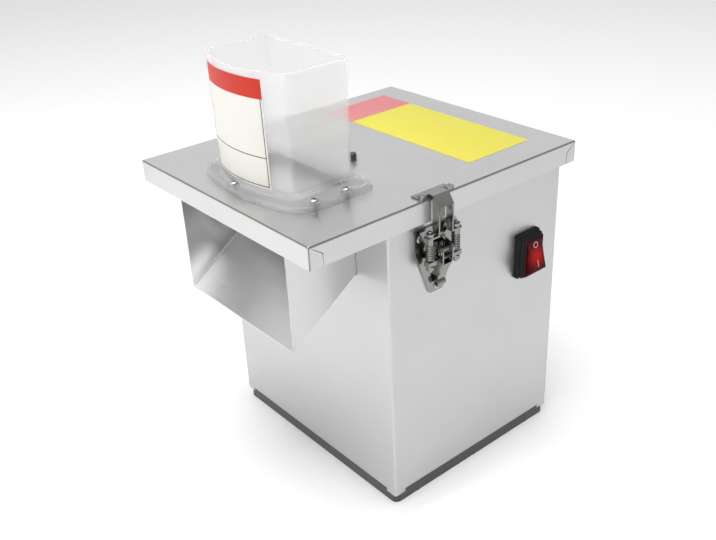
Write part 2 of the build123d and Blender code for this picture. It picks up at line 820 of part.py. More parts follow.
def hub_nut():
    """The domed nut that holds the disc on its shaft."""
    z = disc_top + 3.0
    plane = Plane(origin=(0, cutter_y, z), z_dir=(0, 0, 1))
    nut = extrude(plane * RegularPolygon(9.0, 6), amount=4.0)
    dome = bar(7.0, (0, cutter_y, z + 3.0), (0, cutter_y, z + 8.0))
    nut += fillet(dome.edges().sort_by(Axis.Z)[-1], 3.0)
    return nut - bar(4.0 + running_gap, (0, cutter_y, z - 1), (0, cutter_y, disc_top + 9.6))


def bearing_seats():
    """Lower faces of the two bearings in the bearing housing."""
    low = body_top - bearing_barrel_length
    return (low + 3.0, body_top - 6.0 - bearing_width)


def bearing_bolt_places():
    """Where the bearing housing is bolted under the pan."""
    r = bearing_bolt_circle
    return [(r * cos(radians(a)), cutter_y + r * sin(radians(a))) for a in (45, 135, 225, 315)]


def bearing_housing():
    """The turned bearing housing that hangs from the pan, with ribs under its flange."""
    y, top = cutter_y, body_top
    low = top - bearing_barrel_length
    house = bar(bearing_barrel, (0, y, low), (0, y, top))
    house += bar(bearing_flange_radius, (0, y, top - bearing_flange_thickness), (0, y, top))
    house -= bar(shaft_radius + 3.0, (0, y, low - 1), (0, y, top + 1))
    for z in bearing_seats():
        house -= bar(bearing_radius + running_gap, (0, y, z), (0, y, z + bearing_width))
    seats = bearing_seats()
    mouth = bearing_radius + running_gap
    house -= bar(mouth, (0, y, low - 1), (0, y, seats[0] + 1))
    house -= bar(mouth, (0, y, seats[1]), (0, y, top + 1))
    for place in bearing_bolt_places():
        house -= bar(screw_hole, (*place, top - 10), (*place, top + 1))
    return house


def bearing_rings(outer):
    """The outer rings with their seals, or the inner rings, of both bearings."""
    rings = []
    inner_radius, split = shaft_radius + running_gap / 2, 11.0
    for z in bearing_seats():
        y = cutter_y
        if outer:
            ring = tube(bearing_radius, split + 0.9, (0, y, z), (0, y, z + bearing_width))
            for seal in (z + 0.4, z + bearing_width - 1.4):
                ring += tube(bearing_radius - 1, split + 0.2, (0, y, seal), (0, y, seal + 1.0))
        else:
            ring = tube(split, inner_radius, (0, y, z), (0, y, z + bearing_width))
        rings.append(ring)
    return group(rings)


def pulley(x, y, radius, bore, hub):
    """A flanged belt pulley with its hub below, its arms lightened by holes if it is large."""
    low = shaft_bottom + 2.0
    top = low + pulley_width
    wheel = bar(radius, (x, y, low), (x, y, top))
    for z in (low, top - 1.6):
        wheel += bar(radius + pulley_flange, (x, y, z), (x, y, z + 1.6))
    if radius > 40:
        for z in (low - 1, top - 5.0):
            wheel -= tube(radius - 6.0, hub, (x, y, z), (x, y, z + 6.0))
        for i in range(6):
            a = radians(60 * i)
            r = (radius - 6.0 + hub) / 2
            place = (x + r * cos(a), y + r * sin(a))
            wheel -= bar(7.0, (*place, low - 1), (*place, top + 1))
    wheel -= bar(bore + running_gap / 2, (x, y, low - 1), (x, y, top + 1))
    return wheel


def drive_belt():
    """The belt round both pulleys, as one closed loop."""
    low = shaft_bottom + 2.0 + (pulley_width - belt_width) / 2
    inner = belt_loop(low, slip)
    outer = belt_loop(low, slip + belt_thickness)
    return extrude(outer - inner, amount=belt_width)


def belt_loop(z, grow):
    """The outline of two circles and their outer tangents, grown by a distance."""
    big, small = large_pulley_radius + grow, small_pulley_radius + grow
    distance = motor_back - cutter_y
    lean = asin((big - small) / distance)
    c, s = cos(lean), -sin(lean)
    points = [(big * c, cutter_y - big * s), (small * c, motor_back - small * s)]
    left = [(-x, y) for x, y in reversed(points)]
    face = make_face(Polyline([(x, y, z) for x, y in points + left], close=True))
    face += Pos(0, cutter_y, z) * Circle(big)
    return face + Pos(0, motor_back, z) * Circle(small)


def motor_bracket():
    """The folded bracket that hangs from the pan and carries the motor."""
    y = (motor_back - 46, motor_back + 46)
    x, z = bracket_half_width, bracket_height
    bracket = block((-x, x), y, (z, body_top))
    bends = bracket.edges().filter_by(Axis.Y).group_by(Axis.Z)[0]
    bracket = fillet(bends, 5.0)
    inner_x = (-x + bracket_sheet, x - bracket_sheet)
    inner = block(inner_x, (y[0] - 1, y[1] + 1), (z + bracket_sheet, body_top + 1))
    inner = fillet(inner.edges().filter_by(Axis.Y).group_by(Axis.Z)[0], 2.0)
    bracket -= inner
    for sx in (-1, 1):
        bracket += block(sorted((sx * x, sx * (x + 16))), y, (body_top - bracket_sheet, body_top))
        window_x = sorted((sx * (x - 6), sx * (x + 4)))
        window = block(window_x, (motor_back - 26, motor_back + 26), (z + 28, body_top - 24))
        bracket -= fillet(window.edges().filter_by(Axis.X), 8.0)
    bracket -= bar(22.0, (0, motor_back, z - 1), (0, motor_back, z + 5))
    for place in bracket_bolt_places():
        bracket -= bar(screw_hole, (*place, body_top - 5), (*place, body_top + 1))
    for place in motor_bolt_places():
        bracket -= bar(clamp_hole, (*place, z - 1), (*place, z + 5))
    return bracket


def bracket_bolt_places():
    """Where the motor bracket is bolted under the pan."""
    x = bracket_half_width + 9.0
    return [(s * x, motor_back + t * 34.0) for s in (-1, 1) for t in (-1, 1)]


def motor_bolt_places():
    """Where the motor is bolted to its bracket."""
    r = 36.0
    return [(r * cos(radians(a)), motor_back + r * sin(radians(a))) for a in (45, 135, 225, 315)]


def motor_bolts():
    """Bolts down through the bracket into the upper end cap of the motor."""
    z = bracket_height + bracket_sheet
    return group([hex_bolt((x, y, z), (0, 0, -1), 2.5, 11.0, 8.0, 3.2) for x, y in motor_bolt_places()])


def motor_levels():
    """Heights of the lower cap, stator and upper cap of the motor."""
    top = bracket_height
    return (top - 2 * motor_cap - motor_length, top - motor_cap - motor_length, top - motor_cap, top)


def motor_stator():
    """The laminated stator with cooling fins round its core."""
    _, low, high, _ = motor_levels()
    y = motor_back
    stator = bar(motor_radius - 5.0, (0, y, low), (0, y, high))
    for i in range(24):
        fin = block((motor_radius - 8.0, motor_radius), (-1.3, 1.3), (low + 4, high - 4))
        stator += Pos(0, y, 0) * Rot(0, 0, 15 * i) * fin
    return stator - bar(28.0, (0, y, low - 1), (0, y, high + 1))


def motor_cap_piece(low, high, upper):
    """An end cap of the motor, with a boss for its bearing."""
    y = motor_back
    cap = bar(motor_radius, (0, y, low), (0, y, high))
    outer = cap.edges().sort_by(Axis.Z)[-1 if upper else 0]
    cap = fillet(outer, 4.0)
    if upper:
        cap -= bar(30.0, (0, y, low - 1), (0, y, high - 5.0))
    else:
        cap -= bar(30.0, (0, y, low + 5.0), (0, y, high + 1))
        for i in range(8):
            a = radians(45 * i + 22.5)
            x, at = 24 * cos(a), y + 24 * sin(a)
            cap -= bar(4.5, (x, at, low - 1), (x, at, low + 6))
    cap -= bar(motor_shaft_radius + running_gap, (0, y, low - 1), (0, y, high + 1))
    return cap


def motor_upper_cap():
    """The upper end cap, which is bolted to the bracket."""
    _, _, low, high = motor_levels()
    cap = motor_cap_piece(low, high, True)
    for place in motor_bolt_places():
        cap -= bar(clamp_bolt_radius + running_gap, (*place, high - 9), (*place, high + 1))
    return cap


def motor_lower_cap():
    """The lower end cap, with its cooling holes."""
    low, high, _, _ = motor_levels()
    return motor_cap_piece(low, high, False)


def motor_rotor():
    """The rotor core on the motor shaft."""
    bottom, low, high, _ = motor_levels()
    y = motor_back
    rotor = bar(motor_shaft_radius, (0, y, bottom - 6.0), (0, y, shaft_bottom + pulley_width + 4.0))
    return rotor + bar(27.4, (0, y, low + 2), (0, y, high - 2))


def motor_fan():
    """The cooling fan under the motor."""
    bottom = motor_levels()[0]
    y = motor_back
    z = (bottom - 16.0, bottom - 4.0)
    fan = bar(12.0, (0, y, z[0]), (0, y, z[1]))
    fan += bar(42.0, (0, y, z[1] - 2.0), (0, y, z[1]))
    for i in range(9):
        vane = block((11.0, 42.0), (-0.8, 0.8), (z[0], z[1] - 1.0))
        fan += Pos(0, y, 0) * Rot(0, 0, 40 * i) * vane
    return fan - bar(motor_shaft_radius + running_gap / 2, (0, y, bottom - 6.0), (0, y, bottom))


def capacitor():
    """The run capacitor, standing on the floor plate."""
    x, y = capacitor_place
    z = floor_plate_top
    can = bar(capacitor_radius, (x, y, z), (x, y, z + capacitor_height))
    can = fillet(can.edges().sort_by(Axis.Z)[-1], 2.0)
    for s in (-1, 1):
        tab_z = (z + capacitor_height - 1, z + capacitor_height + 10)
        can += block((x + s * 6 - 3, x + s * 6 + 3), (y - 0.4, y + 0.4), tab_z)
    return can


def capacitor_clip():
    """The strap that holds the capacitor to the floor plate."""
    x, y = capacitor_place
    z = floor_plate_top
    inner = capacitor_radius + slip
    clip = tube(inner + 1.5, inner, (x, y, z), (x, y, z + 14.0))
    for s in (-1, 1):
        foot = block(sorted((x + s * 18.6, x + s * 32.0)), (y - 6, y + 6), (z, z + 1.5))
        clip += foot - bar(screw_hole, (x + s * 27, y, z - 1), (x + s * 27, y, z + 3))
    return clip


def hinge_axis():
    """The x and z of the lid hinge."""
    return -lid_side - hinge_knuckle, lid_top - lid_rim - hinge_below_rim


def hinge_centres():
    """Depths of the middles of the two hinges."""
    middle = (lid_front + lid_back) / 2 + 18.0
    return (middle - hinge_spacing / 2 + 10, middle + hinge_spacing / 2 - 10)


def hinge_rivet_rows():
    """Depths of the rivets in both hinges."""
    return [c + s * hinge_length * 0.3 for c in hinge_centres() for s in (-1, 1)]


def lid_hinge_rivet_height():
    """Height of the rivets that hold the hinges to the lid rim."""
    return lid_top - lid_rim / 2


def body_hinge_rivet_places():
    """Depth and height of the rivets that hold the hinges to the body."""
    z = hinge_axis()[1]
    return [(y, z - 24.0) for y in hinge_rivet_rows()]


def knuckle_spans(centre, lid_side_leaf):
    """The lengths of knuckle on one leaf: three on the body leaf, two on the lid leaf."""
    step = hinge_length / 5
    start = centre - hinge_length / 2
    gap = 0.25
    picks = (1, 3) if lid_side_leaf else (0, 2, 4)
    return [(start + step * i + gap, start + step * (i + 1) - gap) for i in picks]


def hinge_lid_leaves():
    """The hinge leaves on the lid rim, with their knuckles."""
    x, z = hinge_axis()
    leaves = []
    for centre in hinge_centres():
        y = (centre - hinge_length / 2, centre + hinge_length / 2)
        leaf = block((-lid_side - hinge_leaf, -lid_side), y, (lid_top - lid_rim + 0.8, lid_top - 4.0))
        for span in knuckle_spans(centre, True):
            leaf += bar(hinge_knuckle, (x, span[0], z), (x, span[1], z))
            leaf += block((-lid_side - hinge_leaf, -lid_side), span, (z, lid_top - lid_rim + 1))
        for span in knuckle_spans(centre, True):
            leaf -= bar(hinge_pin + running_gap, (x, span[0] - 1, z), (x, span[1] + 1, z))
        height = lid_hinge_rivet_height()
        for at in hinge_rivet_rows():
            leaf -= bar(small_rivet_hole, (-lid_side - 3, at, height), (-lid_side + 1, at, height))
        leaves.append(leaf)
    return group(leaves)


def hinge_body_leaves():
    """The cranked hinge leaves on the side of the body, with their knuckles."""
    x, z = hinge_axis()
    face = -body_side
    leaves = []
    for centre in hinge_centres():
        y = (centre - hinge_length / 2, centre + hinge_length / 2)
        leaf = block((face - hinge_leaf, face), y, (z - 32.0, z - 12.0))
        leaf = fillet(leaf.edges().filter_by(Axis.X).group_by(Axis.Z)[0], 4.0)
        crank = [
            (face, z - 13.0),
            (face - hinge_leaf, z - 13.0),
            (x - 1.2, z - 2.4),
            (x + 0.6, z - 2.4),
        ]
        for span in knuckle_spans(centre, False):
            leaf += cross_plate(crank, span[0], span[1] - span[0])
            leaf += bar(hinge_knuckle, (x, span[0], z), (x, span[1], z))
        for span in knuckle_spans(centre, False):
            leaf -= bar(hinge_pin + seat_gap, (x, span[0] - 1, z), (x, span[1] + 1, z))
        for at, height in body_hinge_rivet_places():
            leaf -= bar(rivet_hole, (face - 4, at, height), (face + 2, at, height))
        leaves.append(leaf)
    return group(leaves)


def hinge_pins():
    """The hinge pins, which stay with the body leaves."""
    x, z = hinge_axis()
    half = hinge_length / 2
    return group([bar(hinge_pin, (x, c - half, z), (x, c + half, z)) for c in hinge_centres()])


def lid_rivets():
    """Rivets of the hinge leaves and the strike plate on the lid."""
    height, start = lid_hinge_rivet_height(), -lid_side - hinge_leaf
    grip = hinge_leaf + sheet + 0.6
    rivets = []
    for y in hinge_rivet_rows():
        rivets.append(screw((start, y, height), (1, 0, 0), small_rivet_radius, grip, 2.6, 1.0))
    top, grip = lid_top + strike_sheet, strike_sheet + sheet + 0.6
    for x, y in strike_rivet_places():
        rivets.append(screw((x, y, top), (0, 0, -1), small_rivet_radius, grip, 2.3, 0.8))
    return group(rivets)


def body_rivets():
    """Rivets of the hinge leaves and the latch base on the body."""
    start, grip = -body_side - hinge_leaf, hinge_leaf + sheet + 1.6
    rivets = []
    for y, z in body_hinge_rivet_places():
        rivets.append(screw((start, y, z), (1, 0, 0), rivet_radius, grip, 3.2, 1.2))
    start, grip = body_side + latch_base_sheet, latch_base_sheet + sheet + 1.6
    for _, y, z in latch_rivet_places():
        rivets.append(screw((start, y, z), (-1, 0, 0), rivet_radius, grip, 3.2, 1.2))
    return group(rivets)


def strike_rivet_places():
    """Where the strike plate is riveted to the lid."""
    return [(lid_side - 9.0, latch_y + s * 13.0) for s in (-1, 1)]


def strike_plate():
    """The strike on the edge of the lid: a strap with two ears that guide the claw."""
    x = (lid_side - 13.0, lid_side - 2.0)
    half = 18.0
    strike = block(x, (latch_y - half, latch_y + half), (lid_top, lid_top + strike_sheet))
    for s in (-1, 1):
        y = sorted((latch_y + s * 10.5, latch_y + s * half))
        ear = block((lid_side - 5.0, lid_side - 1.0), y, (lid_top, lid_top + 4.0))
        strike += fillet(ear.edges().filter_by(Axis.X).group_by(Axis.Z)[-1], 1.5)
    for x_place, y_place in strike_rivet_places():
        strike -= bar(small_rivet_hole, (x_place, y_place, lid_top - 1), (x_place, y_place, lid_top + 2))
    return strike


def latch_pivot():
    """The x and z of the fixed pivot of the latch lever."""
    return body_side + latch_reach, lid_top - latch_pivot_drop


def latch_draw_pivot():
    """The x and z of the crossbar in the lever, a little past dead centre."""
    x, z = latch_pivot()
    inward = 1.5
    return x - inward, z - sqrt(latch_crank**2 - inward**2)


def latch_rivet_places():
    """Where the latch base is riveted to the body."""
    _, z = latch_pivot()
    places = [(latch_y - 18.5, z + 12.0), (latch_y + 18.5, z + 12.0), (latch_y, z - 37.0)]
    return [(body_side, y, height) for y, height in places]


def latch_base():
    """The latch base: a tapered plate with two ears folded out for the pivot pin."""
    face = body_side
    px, pz = latch_pivot()
    low, high = pz - 42.0, pz + 20.0
    half = latch_half_width
    outline = [(-half, high), (half, high), (half, pz + 2), (8.0, low), (-8.0, low), (-half, pz + 2)]
    base = side_plate([(latch_y + y, z) for y, z in outline], face, latch_base_sheet)
    base = fillet(base.edges().filter_by(Axis.X), 3.5)
    ear_y = lever_half_width + slip
    for s in (-1, 1):
        y = latch_y + (ear_y if s > 0 else -ear_y - latch_base_sheet)
        ear = cross_plate(
            [(face, pz - 5.5), (px, pz - 4.4), (px, pz + 4.4), (face, pz + 9.0)], y, latch_base_sheet
        )
        ear += bar(4.4, (px, y, pz), (px, y + latch_base_sheet, pz))
        base += ear
    base -= bar(latch_pin + seat_gap, (px, latch_y - 20, pz), (px, latch_y + 20, pz))
    for x, y, z in latch_rivet_places():
        base -= bar(rivet_hole, (x - 2, y, z), (x + 4, y, z))
    return base


def latch_pivot_pin():
    """The pin through the ears of the base and the cheeks of the lever."""
    x, z = latch_pivot()
    reach = lever_half_width + slip + latch_base_sheet
    pin = bar(latch_pin, (x, latch_y - reach, z), (x, latch_y + reach, z))
    for s in (-1, 1):
        start = latch_y + s * reach
        pin += bar(3.0, (x, start, z), (x, start + s * 0.9, z))
    return pin


def latch_lever():
    """The lever: two cheeks round the pivots, a web that tapers down and a curled tip."""
    px, pz = latch_pivot()
    dx, dz = latch_draw_pivot()
    half, wall = lever_half_width, 1.4
    tip_x, tip_z = body_side + 4.6, pz - lever_length
    # The cheeks, from the fixed pivot past the crossbar and down to the blade
    outline = [
        (px + 4.6, pz),
        (px + 4.4, dz - 2.0),
        (tip_x + 3.2, tip_z + 8.0),
        (tip_x - 1.4, tip_z + 8.0),
        (dx - 4.4, dz - 6.0),
        (px - 4.6, pz),
    ]
    lever = cross_plate(outline, latch_y - half, 2 * half)
    lever += bar(4.6, (px, latch_y - half, pz), (px, latch_y + half, pz))
    hollow = [
        (px - 8.0, pz + 8.0),
        (px + 8.0, pz + 8.0),
        (px + 8.0, dz - 3.6),
        (px + 2.6, dz - 3.6),
        (tip_x + 1.4, tip_z + 8.0),
        (tip_x - 8.0, tip_z + 7.0),
        (dx - 12.0, dz),
    ]
    lever -= cross_plate(hollow, latch_y - half + wall, 2 * (half - wall))
    # The blade narrows to a neck and ends in a rolled eye
    neck = 3.2
    start_z, end_z = tip_z + 10.0, tip_z
    blade = [
        (tip_x + 3.6, start_z), (tip_x + 1.6, start_z), (tip_x - 0.2, end_z), (tip_x + 1.8, end_z),
    ]
    lever += cross_plate(blade, latch_y - neck, 2 * neck)
    lever += tube(
        3.0, 1.3, (tip_x + 1.4, latch_y - 4.4, tip_z - 1.0), (tip_x + 1.4, latch_y + 4.4, tip_z - 1.0)
    )
    for x, z, radius in ((px, pz, latch_pin), (dx, dz, crossbar_journal)):
        lever -= bar(radius + running_gap, (x, latch_y - 20, z), (x, latch_y + 20, z))
    return lever


def latch_crossbar():
    """The crossbar in the lever, which the two rods pass through."""
    x, z = latch_draw_pivot()
    bare = bar(crossbar_journal, (x, latch_y - 12, z), (x, latch_y + 12, z))
    reach = latch_rod_spacing / 2
    for s in (-1, 1):
        inner = lever_half_width + slip + latch_base_sheet + 0.6
        y = sorted((latch_y + s * inner, latch_y + s * (reach + 4.0)))
        end = block((x - 3.0, x + 3.0), y, (z - 2.4, z + 2.4))
        bare += fillet(end.edges().filter_by(Axis.Y), 1.2)
        rod_y = latch_y + s * reach
        bare -= bar(latch_rod + running_gap, (x, rod_y, z - 5), (x, rod_y, z + 5))
    return bare


def claw_levels():
    """Heights of the lug of the claw and the top and bottom of the springs."""
    _, z = latch_draw_pivot()
    spring_low = z + 2.4
    spring_high = spring_low + 15.0
    lug = spring_high + 5.0
    return lug, spring_high, spring_low


def latch_claw():
    """The claw: a hook over the lid edge, a sloping face, two side arms and two lugs."""
    rod_x, _ = latch_draw_pivot()
    lug, _, _ = claw_levels()
    half, wall = claw_half_width, 1.5
    top = lid_top + strike_sheet + slip
    near = lid_side + 1.4
    hook = [
        (lid_side - claw_reach, top),
        (near + 0.2, top),
        (near + claw_out - 1.4, top - claw_drop - 0.6),
        (near + claw_out, top - claw_drop),
        (near + 1.2, top + wall),
        (lid_side - claw_reach, top + wall),
    ]
    claw = cross_plate(hook, latch_y - half, 2 * half)
    arm = [
        (near, top + 0.2),
        (near + 1.2, top + 1.0),
        (near + claw_out, top - claw_drop),
        (near + claw_out, top - 20.0),
        (rod_x + 3.6, lug + 4.0),
        (rod_x + 3.6, lug),
        (rod_x - 3.0, lug),
        (near, top - 24.0),
    ]
    for s in (-1, 1):
        y = latch_y + (half - wall if s > 0 else -half)
        claw += cross_plate(arm, y, wall)
        lug_y = sorted((latch_y + s * (half - wall), latch_y + s * (latch_rod_spacing / 2 + 4.0)))
        tab = block((rod_x - 3.6, rod_x + 3.6), lug_y, (lug, lug + wall))
        claw += fillet(tab.edges().filter_by(Axis.Z), 1.2)
        rod_y = latch_y + s * latch_rod_spacing / 2
        claw -= bar(latch_rod + seat_gap, (rod_x, rod_y, lug - 2), (rod_x, rod_y, lug + 4))
    return claw


def latch_rods():
    """The two rods that hang from the lugs of the claw through the springs."""
    x, z = latch_draw_pivot()
    lug, _, _ = claw_levels()
    rods = []
    for s in (-1, 1):
        y = latch_y + s * latch_rod_spacing / 2
        rods.append(bar(latch_rod, (x, y, z - 8.0), (x, y, lug + 6.5)))
    return group(rods)


def latch_nuts():
    """Nuts above and below each lug, and under the crossbar."""
    x, z = latch_draw_pivot()
    lug, spring_high, _ = claw_levels()
    nuts = []
    for s in (-1, 1):
        y = latch_y + s * latch_rod_spacing / 2
        for low, high in ((lug + 1.5, lug + 4.7), (spring_high + 0.1, lug), (z - 5.6, z - 2.4)):
            plane = Plane(origin=(x, y, low), z_dir=(0, 0, 1))
            nut = extrude(plane * RegularPolygon(3.7, 6), amount=high - low)
            nuts.append(nut - bar(latch_rod + seat_gap, (x, y, low - 1), (x, y, high + 1)))
    return group(nuts)


def latch_springs():
    """The two coil springs round the rods."""
    x, _ = latch_draw_pivot()
    _, high, low = claw_levels()
    wire, mean = latch_spring_wire, latch_spring_radius - latch_spring_wire
    pitch = (high - low - 2 * wire - 0.2) / latch_spring_turns
    springs = []
    for s in (-1, 1):
        y = latch_y + s * latch_rod_spacing / 2
        path = Pos(x, y, low + wire + 0.1) * Helix(pitch, pitch * latch_spring_turns, mean)
        section = Plane(origin=path @ 0, z_dir=path % 0) * Circle(wire)
        springs.append(sweep(section, path))
    return group(springs)


def switch_cutout(x0, x1):
    """The opening in the body for the switch."""
    y, z = bezel_width / 2 - bezel_rim, bezel_height / 2 - bezel_rim
    return block((x0, x1), (switch_y - y, switch_y + y), (switch_z - z, switch_z + z))


def switch_axis():
    """The x of the axis that the rocker tips about."""
    return body_side + 3.5


def switch_well():
    """The room for the rocker: a slot in the bezel and a round trough in the case."""
    x, axis = body_side + 1.0, switch_axis()
    y = (switch_y - rocker_width / 2 - slip, switch_y + rocker_width / 2 + slip)
    half_z = rocker_radius + slip
    well = block((x, x + 20), y, (switch_z - half_z, switch_z + half_z))
    return well + bar(13.0, (axis, y[0], switch_z), (axis, y[1], switch_z))


def switch_case():
    """The closed case of the switch behind the panel."""
    y, z = bezel_width / 2 - bezel_rim - slip, bezel_height / 2 - bezel_rim - slip
    x = (body_side - 26.0, body_side + 1.0)
    return block(x, (switch_y - y, switch_y + y), (switch_z - z, switch_z + z)) - switch_well()


def switch_bezel():
    """The stepped bezel of the switch, with sockets for the pivots of the rocker."""
    x = body_side
    bezel = None
    for start, end, inset_y, inset_z in ((0.0, 4.0, 0.0, 0.0), (3.0, 8.0, 1.4, 1.6), (7.0, 10.5, 2.8, 1.8)):
        y, z = bezel_width / 2 - inset_y, bezel_height / 2 - inset_z
        tier = block((x + start, x + end), (switch_y - y, switch_y + y), (switch_z - z, switch_z + z))
        tier = fillet(tier.edges().filter_by(Axis.X), 2.4)
        tier = chamfer(tier.faces().sort_by(Axis.X)[-1].edges(), 0.7)
        bezel = tier if bezel is None else bezel + tier
    y, z = bezel_width / 2 - bezel_rim - slip, bezel_height / 2 - bezel_rim - slip
    bezel -= block((x - 1, x + 1), (switch_y - y, switch_y + y), (switch_z - z, switch_z + z))
    bezel -= switch_well()
    reach = rocker_width / 2 + slip + 1.4
    axis = switch_axis()
    ends = [(axis, switch_y + s * reach, switch_z) for s in (-1, 1)]
    return bezel - bar(rocker_pin + running_gap, *ends)


def switch_rocker():
    """The rocker, tipped to its off side, with its ends round the axis."""
    axis = switch_axis()
    half_y = rocker_width / 2
    body = bar(rocker_radius, (axis, switch_y - half_y, switch_z), (axis, switch_y + half_y, switch_z))
    tilt = Pos(axis, switch_y, switch_z) * Rot(0, -rocker_tilt, 0)
    keep = tilt * block((2.2, rocker_face), (-30, 30), (-30, 30))
    rocker = body & keep
    front = rocker.faces().sort_by(Axis.X)[-1]
    rocker = fillet(front.edges(), 1.6)
    stem = bar(5.0, (axis, switch_y - half_y, switch_z), (axis, switch_y + half_y, switch_z))
    rocker += stem
    ends = [(axis, switch_y + s * (half_y + 1.3), switch_z) for s in (-1, 1)]
    return rocker + bar(rocker_pin, *ends)


def switch_terminals():
    """The tab terminals behind the switch."""
    x = body_side - 26.0
    tabs = []
    for y in (-6.0, 6.0):
        for z in (-10.0, 10.0):
            tab_y = (switch_y + y - 0.4, switch_y + y + 0.4)
            tab_z = (switch_z + z - 3.1, switch_z + z + 3.1)
            tabs.append(block((x - 9.0, x), tab_y, tab_z))
    return group(tabs)


pieces = {
    "base_pad": base_pad,
    "base_plate": base_plate,
    "base_screws": base_screws,
    "housing_shell": housing_shell,
    "rear_panel": rear_panel,
    "rear_screws": rear_screws,
    "cable_gland": cable_gland,
    "gland_nut": gland_nut,
    "discharge_chute": discharge_chute,
    "chute_bolts": chute_screws,
    "cutting_pan": cutting_pan,
    "pan_screws": pan_screws,
    "grid_frame": grid_frame,
    "grid_blades_across": grid_blades_across,
    "grid_blades_along": grid_blades_along,
    "grid_clamp_bolts": grid_clamp_bolts,
    "grid_wing_nuts": grid_clamp_nuts,
    "slicing_disc": slicing_disc,
    "slicing_blade": slicing_blade,
    "blade_screws": blade_screws,
    "cutter_shaft": cutter_shaft,
    "hub_nut": hub_nut,
    "bearing_housing": bearing_housing,
    "bearing_outer_rings": lambda: bearing_rings(True),
    "bearing_inner_rings": lambda: bearing_rings(False),
    "cutter_pulley": lambda: pulley(0, cutter_y, large_pulley_radius, shaft_radius, 15.0),
    "motor_pulley": lambda: pulley(0, motor_back, small_pulley_radius, motor_shaft_radius, 15.0),
    "drive_belt": drive_belt,
    "motor_bracket": motor_bracket,
    "motor_bolts": motor_bolts,
    "motor_stator": motor_stator,
    "motor_upper_cap": motor_upper_cap,
    "motor_lower_cap": motor_lower_cap,
    "motor_rotor": motor_rotor,
    "motor_fan": motor_fan,
    "capacitor": capacitor,
    "capacitor_clip": capacitor_clip,
    "lid_panel": lid_panel,
    "hopper": hopper,
    "hopper_screws": hopper_screws,
    "lid_stud": lid_stud,
    "lid_stud_nut": lid_stud_nut,
    "hinge_lid_leaves": hinge_lid_leaves,
    "hinge_body_leaves": hinge_body_leaves,
    "hinge_pins": hinge_pins,
    "lid_rivets": lid_rivets,
    "body_rivets": body_rivets,
    "strike_plate": strike_plate,
    "latch_base": latch_base,
    "latch_pivot_pin": latch_pivot_pin,
    "latch_lever": latch_lever,
    "latch_crossbar": latch_crossbar,
    "latch_claw": latch_claw,
    "latch_rods": latch_rods,
    "latch_nuts": latch_nuts,
    "latch_springs": latch_springs,
    "switch_bezel": switch_bezel,
    "switch_case": switch_case,
    "switch_terminals": switch_terminals,
    "switch_rocker": switch_rocker,
}

os.makedirs("parts", exist_ok=True)
for name, make in pieces.items():
    write(name, make())
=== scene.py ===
import json
import logging
import math
from contextlib import contextmanager
from dataclasses import dataclass
from enum import Enum
from typing import Iterator, Sequence

import bmesh
import bpy
from mathutils import Matrix, Vector


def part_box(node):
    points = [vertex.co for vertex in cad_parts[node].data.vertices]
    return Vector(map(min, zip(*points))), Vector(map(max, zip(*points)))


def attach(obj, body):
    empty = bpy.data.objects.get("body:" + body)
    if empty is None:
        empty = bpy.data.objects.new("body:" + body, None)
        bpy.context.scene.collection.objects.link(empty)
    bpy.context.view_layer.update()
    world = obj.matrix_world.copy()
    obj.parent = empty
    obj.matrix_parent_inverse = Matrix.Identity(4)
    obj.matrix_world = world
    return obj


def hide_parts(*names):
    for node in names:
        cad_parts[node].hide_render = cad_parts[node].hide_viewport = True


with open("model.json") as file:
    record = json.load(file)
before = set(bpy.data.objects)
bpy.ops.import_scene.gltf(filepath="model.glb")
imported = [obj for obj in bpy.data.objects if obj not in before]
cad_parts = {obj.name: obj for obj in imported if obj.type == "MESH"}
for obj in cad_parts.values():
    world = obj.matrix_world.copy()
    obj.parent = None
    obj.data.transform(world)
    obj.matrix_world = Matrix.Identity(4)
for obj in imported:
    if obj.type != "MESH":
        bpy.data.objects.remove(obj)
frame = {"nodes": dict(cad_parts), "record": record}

logging.basicConfig(level=logging.INFO, format="%(message)s")
log = logging.getLogger("vegetable_cutter")

MM = 0.001
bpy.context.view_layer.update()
UP = Vector((0, 0, 1))
# Points of a mesh that lie nearer than this are merged, in millimetres
MERGE_MM = 0.002
# Most values of a noise texture lie between these two
NOISE_LOW, NOISE_HIGH = 0.3, 0.7

Pair = tuple[float, float]
Point = tuple[float, float, float]
Plan = list[Pair]
Ring = list[Point]
Block = tuple[str, Pair, Pair]


# Nodes and colours


def linear(colour: str) -> tuple[float, float, float, float]:
    """Turns an sRGB hex colour to linear.

    Args:
        colour: The colour as RRGGBB.

    Returns:
        Linear red, green and blue, with an alpha of one.
    """
    channels = [int(colour[i : i + 2], 16) / 255 for i in (0, 2, 4)]
    steps = [c / 12.92 if c <= 0.04045 else ((c + 0.055) / 1.055) ** 2.4 for c in channels]
    return (*steps, 1.0)


def add_node(tree: bpy.types.NodeTree, kind: str, inputs: dict | None = None, **settings) -> bpy.types.Node:
    """Adds one shader node with its settings and its inputs.

    Args:
        tree: The node tree that gets the node.
        kind: The node's Blender type.
        inputs: Values or output sockets, by input name or number.
        settings: Properties of the node.

    Returns:
        The new node.
    """
    node = tree.nodes.new(kind)
    for name, value in settings.items():
        setattr(node, name, value)
    for key, value in (inputs or {}).items():
        if isinstance(value, bpy.types.NodeSocket):
            tree.links.new(value, node.inputs[key])
        else:
            node.inputs[key].default_value = value
    return node


class Grain(Enum):
    """The way that the polishing lines of a metal run."""

    X = 0
    Y = 1
    Z = 2


